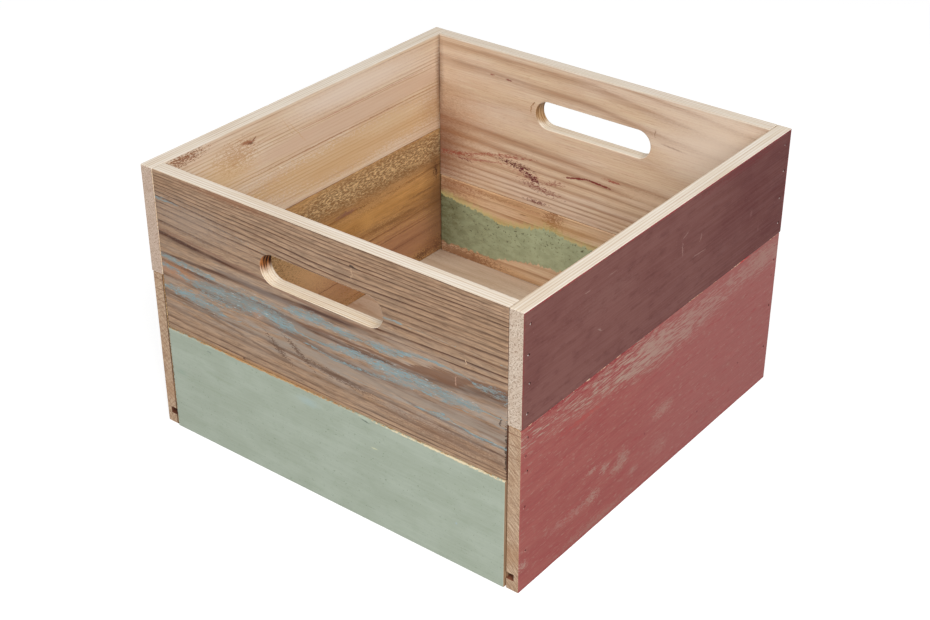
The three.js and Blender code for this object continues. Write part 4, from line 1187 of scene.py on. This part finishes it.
def sweepBoard(name, lie, outward, low, high, look):
    # low and high are the board's corners in millimetres: (along, across, through)
    seed = look["seed"]
    wide = high[1] - low[1]
    thick = high[2] - low[2]
    points = sectionOf(look, wide, thick)
    corners = {"outerTop": ((wide, 0), (-1, 1)), "innerTop": ((wide, thick), (-1, -1)),
               "innerFoot": ((0, thick), (1, -1)), "outerFoot": ((0, 0), (1, 1))}
    # each end's arris in three steps: the distance from the end, and how far the section is drawn in there
    ends = [(0, look["endArris"]), (0.15, 0.5 * look["endArris"]), (0.5, 0.12 * look["endArris"])]
    stations = [(low[0] + distance, drawn) for distance, drawn in ends]
    stations += [(along, 0) for along in spread(low[0] + 0.6, high[0] - 0.6, look["stationGap"])]
    stations += [(high[0] - distance, drawn) for distance, drawn in reversed(ends)]
    shell = bmesh.new()
    outerFace = high[2] if outward > 0 else -low[2]
    rings = []
    for along, drawn in stations:
        depths = cornerWear(look, along, seed)
        ring = []
        for at, inwards, side in points:
            bow = noise.noise(Vector((along / faceWear["bowAlong"], at.x / faceWear["bowAcross"],
                                      seed + at.y / faceWear["bowThrough"])))
            spot = at + inwards * (look["warp"] * (0.5 + 0.5 * bow) + drawn)
            for corner, (tip, way) in corners.items():
                diagonal = Vector(way).normalized()
                short = depths[corner] + drawn - (spot - Vector(tip)).dot(diagonal)
                if short > 0:
                    rough = 1 + faceWear["rough"] * noise.noise(Vector((along, at.x * 1.5, at.y * 1.5)))
                    spot = spot + diagonal * short * rough
            across = min(max(spot.x, faceWear["inset"]), wide - faceWear["inset"]) + low[1]
            through = min(max(spot.y, faceWear["inset"]), thick - faceWear["inset"])
            ring.append(shell.verts.new(axisPlace(lie, outward, along, across, outerFace - through)))
        rings.append(ring)
    for ring, following in zip(rings, rings[1:]):
        for i, (at, inwards, side) in enumerate(points):
            j = (i + 1) % len(points)
            strip = shell.faces.new((ring[i], ring[j], following[j], following[i]))
            strip.material_index = boardSides.index(side)
    for ring in (rings[0], rings[-1]):
        shell.faces.new(ring).material_index = boardSides.index("end")
    bmesh.ops.recalc_face_normals(shell, faces=shell.faces)
    return closeMesh(name, shell)


boardSides = ["outer", "top", "inner", "bottom", "groove", "end"]  # in the order of a board's finishes


def closeMesh(name, shell):
    mesh = bpy.data.meshes.new(name)
    shell.to_mesh(mesh)
    shell.free()
    piece = bpy.data.objects.new(name, mesh)
    bpy.context.scene.collection.objects.link(piece)
    return piece


def smoothFaces(piece, degrees=32):
    for face in piece.data.polygons:
        face.use_smooth = True
    piece.data.set_sharp_from_angle(angle=math.radians(degrees))


def cutWith(piece, cutter):
    # Cuts the cutter out of the piece; the cutter's finish is one of the piece's own slots
    cut = piece.modifiers.new("cut", "BOOLEAN")
    cut.object = cutter
    cut.operation = "DIFFERENCE"
    cut.solver = "EXACT"
    cut.material_mode = "INDEX"
    depsgraph = bpy.context.evaluated_depsgraph_get()
    made = bpy.data.meshes.new_from_object(piece.evaluated_get(depsgraph))
    piece.modifiers.clear()
    piece.data = made
    bpy.data.objects.remove(cutter)


# The hand slots were routed with round ends, and a bit with a bearing eased both mouths
slotPlace = {
    "length": 124, "height": 27, "drop": 50, "ease": 0.9, "overrun": 2, "roundSteps": 20, "runSteps": 16,
    "easeSteps": 5, "depthSteps": 5,
}


def slotCutter(place, lie, outward, middle, faces, finish):
    # faces are the outer and the inner face's places through the board; middle is (along, across)
    radius = place["height"] / 2
    run = place["length"] / 2 - radius
    outline = []
    for side in (1, -1):
        for i in range(place["roundSteps"] + 1):
            turn = math.pi * (i / place["roundSteps"] - 0.5)
            outline.append((side * run, side * math.cos(turn), side * math.sin(turn)))
        for i in range(1, place["runSteps"]):
            outline.append((side * run * (1 - 2 * i / place["runSteps"]), 0, side))
    thick = abs(faces[1] - faces[0])
    ease = place["ease"]
    mouth = [(-place["overrun"], ease)]
    for i in range(place["easeSteps"] + 1):
        turn = math.radians(90 * i / place["easeSteps"])
        mouth.append((ease * (1 - math.cos(turn)), ease * (1 - math.sin(turn))))
    depths = mouth + [(thick * i / place["depthSteps"], 0) for i in range(1, place["depthSteps"])]
    depths += [(thick - deep, wider) for deep, wider in reversed(mouth)]
    shell = bmesh.new()
    rings = []
    for deep, wider in depths:
        ring = []
        for start, acrossEnd, upward in outline:
            along = middle[0] + start + acrossEnd * (radius + wider)
            across = middle[1] + upward * (radius + wider)
            ring.append(shell.verts.new(axisPlace(lie, outward, along, across, faces[0] - deep)))
        rings.append(ring)
    for ring, following in zip(rings, rings[1:]):
        for i in range(len(ring)):
            j = (i + 1) % len(ring)
            shell.faces.new((ring[i], ring[j], following[j], following[i]))
    shell.faces.new(rings[0])
    shell.faces.new(rings[-1])
    bmesh.ops.recalc_face_normals(shell, faces=shell.faces)
    cutter = closeMesh("slotCutter", shell)
    cutter.data.materials.append(finish)
    return cutter


bradPocket = {"headThick": 0.7, "overrun": 1, "spare": 0.12}


def bradCutter(names, outward, outerFace, finish):
    # A pocket over each brad's head, down to the head's underside
    shell = bmesh.new()
    for name in names:
        low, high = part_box(name)
        head = high.x if outward > 0 else low.x
        under = head - outward * bradPocket["headThick"] * mm
        over = outerFace * mm + outward * bradPocket["overrun"] * mm
        spare = bradPocket["spare"] * mm
        corners = []
        for x in (under, over):
            for y, z in ((low.y - spare, low.z - spare), (high.y + spare, low.z - spare),
                         (high.y + spare, high.z + spare), (low.y - spare, high.z + spare)):
                corners.append(shell.verts.new((x, y, z)))
        loops = [(0, 1, 2, 3), (4, 5, 6, 7), (0, 1, 5, 4), (1, 2, 6, 5), (2, 3, 7, 6), (3, 0, 4, 7)]
        for loop in loops:
            shell.faces.new([corners[i] for i in loop])
    bmesh.ops.recalc_face_normals(shell, faces=shell.faces)
    cutter = closeMesh("bradCutter", shell)
    cutter.data.materials.append(finish)
    return cutter


print("meshes are described")


# What the boards share, in millimetres: the radiuses of their arrises, the mesh's steps, and how deep faces
# bow and arrises are rubbed and nicked
boardLook = {
    "arris": 1, "rimArris": 0.4, "rim": False, "arcSteps": 3, "endArris": 0.35, "stationGap": 2, "rowGap": 3,
    "warp": 0.15, "rub": 0.2, "nick": 0.5, "chips": [],
}
grooveInside = (10, 15.6, 7)  # foot and head of the groove, and its depth

routedFront = routedPine("routedPineFront", 15, scorchedEnd)
routedBack = routedPine("routedPineBack", 16, dwelledEnd)
rimX = planedPine("planedPineRimX", "XYZ", rimLook, 11)
rimY = planedPine("planedPineRimY", "YXZ", rimLook, 12)
barePine = {"lie": "XZY", "marks": [], "wood": {**backInside["wood"], "seed": 131}}
barePineSide = {"lie": "YZX", "marks": [],
                "wood": {**leftInside["wood"], "seed": 141, "knots": [(60, 200, 5)]}}
ochrePine = {"lie": "XZY", "marks": [], "wood": {**backInsideLower["wood"], "seed": 151}}
ochrePineSide = {"lie": "YZX", "marks": [], "wood": {**leftInsideLower["wood"], "seed": 161}}
insideFront = agedPine("agedPineInsideFront", barePine)
insideRight = agedPine("agedPineInsideRight", barePineSide)
insideFrontLower = agedPine("agedPineInsideFrontLower", ochrePine)
insideRightLower = agedPine("agedPineInsideRightLower", ochrePineSide)
brownBack = {**weatheredFront, "bands": [], "stains": [], "marks": [], "wood": {
    **weatheredFront["wood"], "seed": 171, "pitch": 5, "knots": [(-70, 90, 7), (110, 40, 5)], "waver": 3}}
brownBack["wood"].pop("lines")
# The photograph doesn't show the outer faces of the left and back walls: they carry the same old paints
mintLeft = {**mintFront, "lie": "YZX", "seed": 181, "marks": [],
            "edges": [("across", 248, -1.5), ("across", 150.1, 1), ("along", 190, -1)]}
redBack = {**redRight, "lie": "XZY", "seed": 191, "marks": [],
           "band": [(-190, 230, 16), (-60, 226, 20), (40, 233, 14), (190, 228, 18)],
           "edges": [("across", 248, -1.6), ("across", 100.1, 1), ("along", 176.7, -1)]}
burgundyBack = {**burgundyRight, "lie": "XZY", "seed": 201, "marks": [],
                "edges": [("across", 99.9, -1.3), ("across", 0, 1), ("along", 176.1, -1)]}

# Cuts coloured dark as painted shade: the grooves, and the ends that butt against the side boards
shadedCut = {
    "early": "#95663f", "tone": "#845531", "late": "#57361f", "rough": 0.8, "fibre": 0.3, "pitch": 3,
    "waver": 2,
}
deepShadedCut = {**shadedCut, "early": "#6e402a", "tone": "#5b321f", "late": "#38200f"}
lightCut = {**shadedCut, "early": "#bd9c7c", "tone": "#ab8a69", "late": "#86654a"}
shadedGrooveX = planedPine("sawnPineGrooveShadedX", "XZY", shadedCut, 27)
shadedGrooveY = planedPine("sawnPineGrooveShadedY", "YZX", deepShadedCut, 28)
shadedButtEnd = planedPine("sawnPineButtEndShaded", "ZYX", deepShadedCut, 29)
lightEnd = planedPine("sawnPineLightEnd", "ZYX", lightCut, 30)

# What shows at a brad: its pocket's mouth painted dark as shade, and a painted glint on the torn paint beside
# it
satinBradShadeAndGlint = [
    {"at": (0.5, 0.2), "half": (0.9, 1.1), "color": "#2a1210", "strength": 0.9, "soft": 0.6, "grit": 0.1},
    {"at": (-0.9, -0.2), "half": (0.8, 0.8), "color": "#eadfd8", "strength": 0.9, "soft": 0.6, "grit": 0.1},
]
chalkyBradShadeAndGlint = [
    {"at": (0.1, 0.1), "half": (0.9, 1.6), "color": "#33100e", "strength": 0.9, "soft": 0.6, "grit": 0.1},
    {"at": (-1.1, -0.8), "half": (0.7, 0.9), "color": "#c79a8f", "strength": 0.6, "soft": 0.6, "grit": 0.1},
]


def aroundBrads(side, low, high, marks):
    # The same small marks at every brad of a side wall between two heights
    found = []
    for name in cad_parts:
        if name.startswith("brad_") and side in name:
            foot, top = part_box(name)
            y, z = (foot.y + top.y) / 2 / mm, (foot.z + top.z) / 2 / mm
            if low < z < high:
                found += [{**mark, "at": (y + mark["at"][0], z + mark["at"][1])} for mark in marks]
    return found


burgundyRight["marks"] += aroundBrads("right", 150, 248, satinBradShadeAndGlint)
redRight["marks"] += aroundBrads("right", 0, 150, chalkyBradShadeAndGlint)

frontUpper = {
    **boardLook, "lie": "XZY", "outward": -1, "seed": 1, "slot": "weathered_pine", "rim": True,
    "warp": 0.3, "nick": 0.9, "rub": 0.4,
    "finishes": [weatheredPine("weatheredPineBlue", "XZY", weatheredFront), rimX, insideFront, insideFront,
                 shadedGrooveX, shadedButtEnd],
    "handSlot": routedFront,
}
frontLower = {
    **boardLook, "lie": "XZY", "outward": -1, "seed": 2, "slot": "mint_paint", "groove": grooveInside,
    "warp": 0.2, "nick": 0.6, "rub": 0.3, "endArris": 0.2,
    "chips": [("outerTop", 42, 7, 0.9), ("outerTop", -128, 6, 0.5), ("outerTop", 150, 5, 0.7)],
    "finishes": [brushedPaint("mintPaintBrushed", mintFront), insideFrontLower, insideFrontLower,
                 insideFrontLower, shadedGrooveX, lightEnd],
}
rightUpper = {
    **boardLook, "lie": "YZX", "outward": 1, "seed": 3, "slot": "burgundy_paint", "rim": True,
    "finishes": [brushedPaint("burgundyPaintBrushed", burgundyRight), rimY, insideRight, insideRight,
                 shadedGrooveY, sawnEnd("sawnPineEndPale", paleEnd, 18)],
}
rightLower = {
    **boardLook, "lie": "YZX", "outward": 1, "seed": 4, "slot": "red_paint", "groove": grooveInside,
    "warp": 0.2, "nick": 0.8, "rub": 0.3,
    "chips": [("outerTop", -186, 5, 0.8), ("outerTop", -112, 6, 0.7), ("outerTop", -5, 3, 0.6),
              ("outerTop", 100, 3, 0.5), ("outerTop", 138, 8, 0.6)],
    "finishes": [rubbedPaint("redPaintRubbed", redRight), insideRightLower, insideRightLower,
                 insideRightLower, shadedGrooveY, sawnEnd("sawnPineEndTan", tanEnd, 19)],
}
leftUpper = {
    **boardLook, "lie": "YZX", "outward": -1, "seed": 5, "slot": "bare_pine", "rim": True,
    "finishes": [brushedPaint("mintPaintLeft", mintLeft), rimY,
                 agedPine("agedPineInsideLeft", leftInside), insideRight, shadedGrooveY,
                 sawnEnd("sawnPineEndLeft", {**pinkEnd, "gapShade": thinGapShade}, 20)],
}
leftLower = {
    **boardLook, "lie": "YZX", "outward": -1, "seed": 6, "slot": "ochre_pine", "groove": grooveInside,
    "finishes": [weatheredPine("weatheredPineBrown", "YZX", brownBack), insideRightLower,
                 agedPine("agedPineInsideLeftLower", leftInsideLower), insideRightLower, shadedGrooveY,
                 sawnEnd("sawnPineEndLeftLower", {**tanEnd, "tone": "#bea084", "gapShade": wideGapShade}, 22)],
}
backUpper = {
    **boardLook, "lie": "XZY", "outward": 1, "seed": 7, "slot": "bare_pine", "rim": True,
    "finishes": [rubbedPaint("redPaintBack", redBack), rimX,
                 agedPine("agedPineInsideBack", backInside), insideFront, shadedGrooveX, shadedButtEnd],
    "handSlot": routedBack,
}
backLower = {
    **boardLook, "lie": "XZY", "outward": 1, "seed": 8, "slot": "ochre_pine", "groove": grooveInside,
    "finishes": [brushedPaint("burgundyPaintBack", burgundyBack),
                 insideFrontLower, agedPine("agedPineInsideBackLower", backInsideLower), insideFrontLower,
                 shadedGrooveX, shadedButtEnd],
}


def alongLie(corner, lie):
    return [corner["XYZ".index(axis)] / mm for axis in lie]


def makeBoard(name, node, look):
    low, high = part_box(node)
    lie = look["lie"]
    outward = look["outward"]
    low, high = alongLie(low, lie), alongLie(high, lie)
    piece = sweepBoard(name, lie, outward, low, high, look)
    for material in look["finishes"]:
        piece.data.materials.append(material)
    outerFace = high[2] if outward > 0 else -low[2]
    innerFace = low[2] if outward > 0 else -high[2]
    if "handSlot" in look:
        piece.data.materials.append(look["handSlot"])
        middle = (0, high[1] - slotPlace["drop"])
        cutWith(piece, slotCutter(slotPlace, lie, outward, middle, (outerFace, innerFace), look["handSlot"]))
    if lie == "YZX":
        side = "right" if outward > 0 else "left"
        heads = []
        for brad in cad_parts:
            if brad.startswith("brad_") and side in brad and low[1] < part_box(brad)[0].z / mm < high[1]:
                heads.append(brad)
        cutWith(piece, bradCutter(heads, outward, outerFace, look["finishes"][0]))
    smoothFaces(piece)
    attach(piece, "root")
    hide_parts(node)
    print("made", name, len(piece.data.polygons), "faces")


makeBoard("frontUpperBoard", "front_upper_board", frontUpper)
makeBoard("frontLowerBoard", "front_lower_board", frontLower)
makeBoard("rightUpperBoard", "right_upper_board", rightUpper)
makeBoard("rightLowerBoard", "right_lower_board", rightLower)
makeBoard("leftUpperBoard", "left_upper_board", leftUpper)
makeBoard("leftLowerBoard", "left_lower_board", leftLower)
makeBoard("backUpperBoard", "back_upper_board", backUpper)
makeBoard("backLowerBoard", "back_lower_board", backLower)

veneer = agedPine("rotaryCutPlywood", plyLook)
edgeX = planedPine("shadedPlywoodEdgeX", "XZY", shadedPlyEdge, 102)
edgeY = planedPine("shadedPlywoodEdgeY", "YZX", shadedPlyEdge, 103)
floorLook = {
    **boardLook, "lie": "XYZ", "outward": 1, "seed": 9, "slot": "plywood", "arris": 0.4, "stationGap": 4,
    "rowGap": 4, "warp": 0.25, "nick": 0.1, "rub": 0.1,
    "finishes": [veneer, edgeX, veneer, edgeX, veneer, edgeY],
}
makeBoard("floorPanel", "floor_panel", floorLook)

steel = drawnSteel("drawnSteelWire", steelLook)
for name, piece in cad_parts.items():
    if name.startswith("brad_"):
        piece.data.materials.clear()
        piece.data.materials.append(steel)
print("brads have their finish")
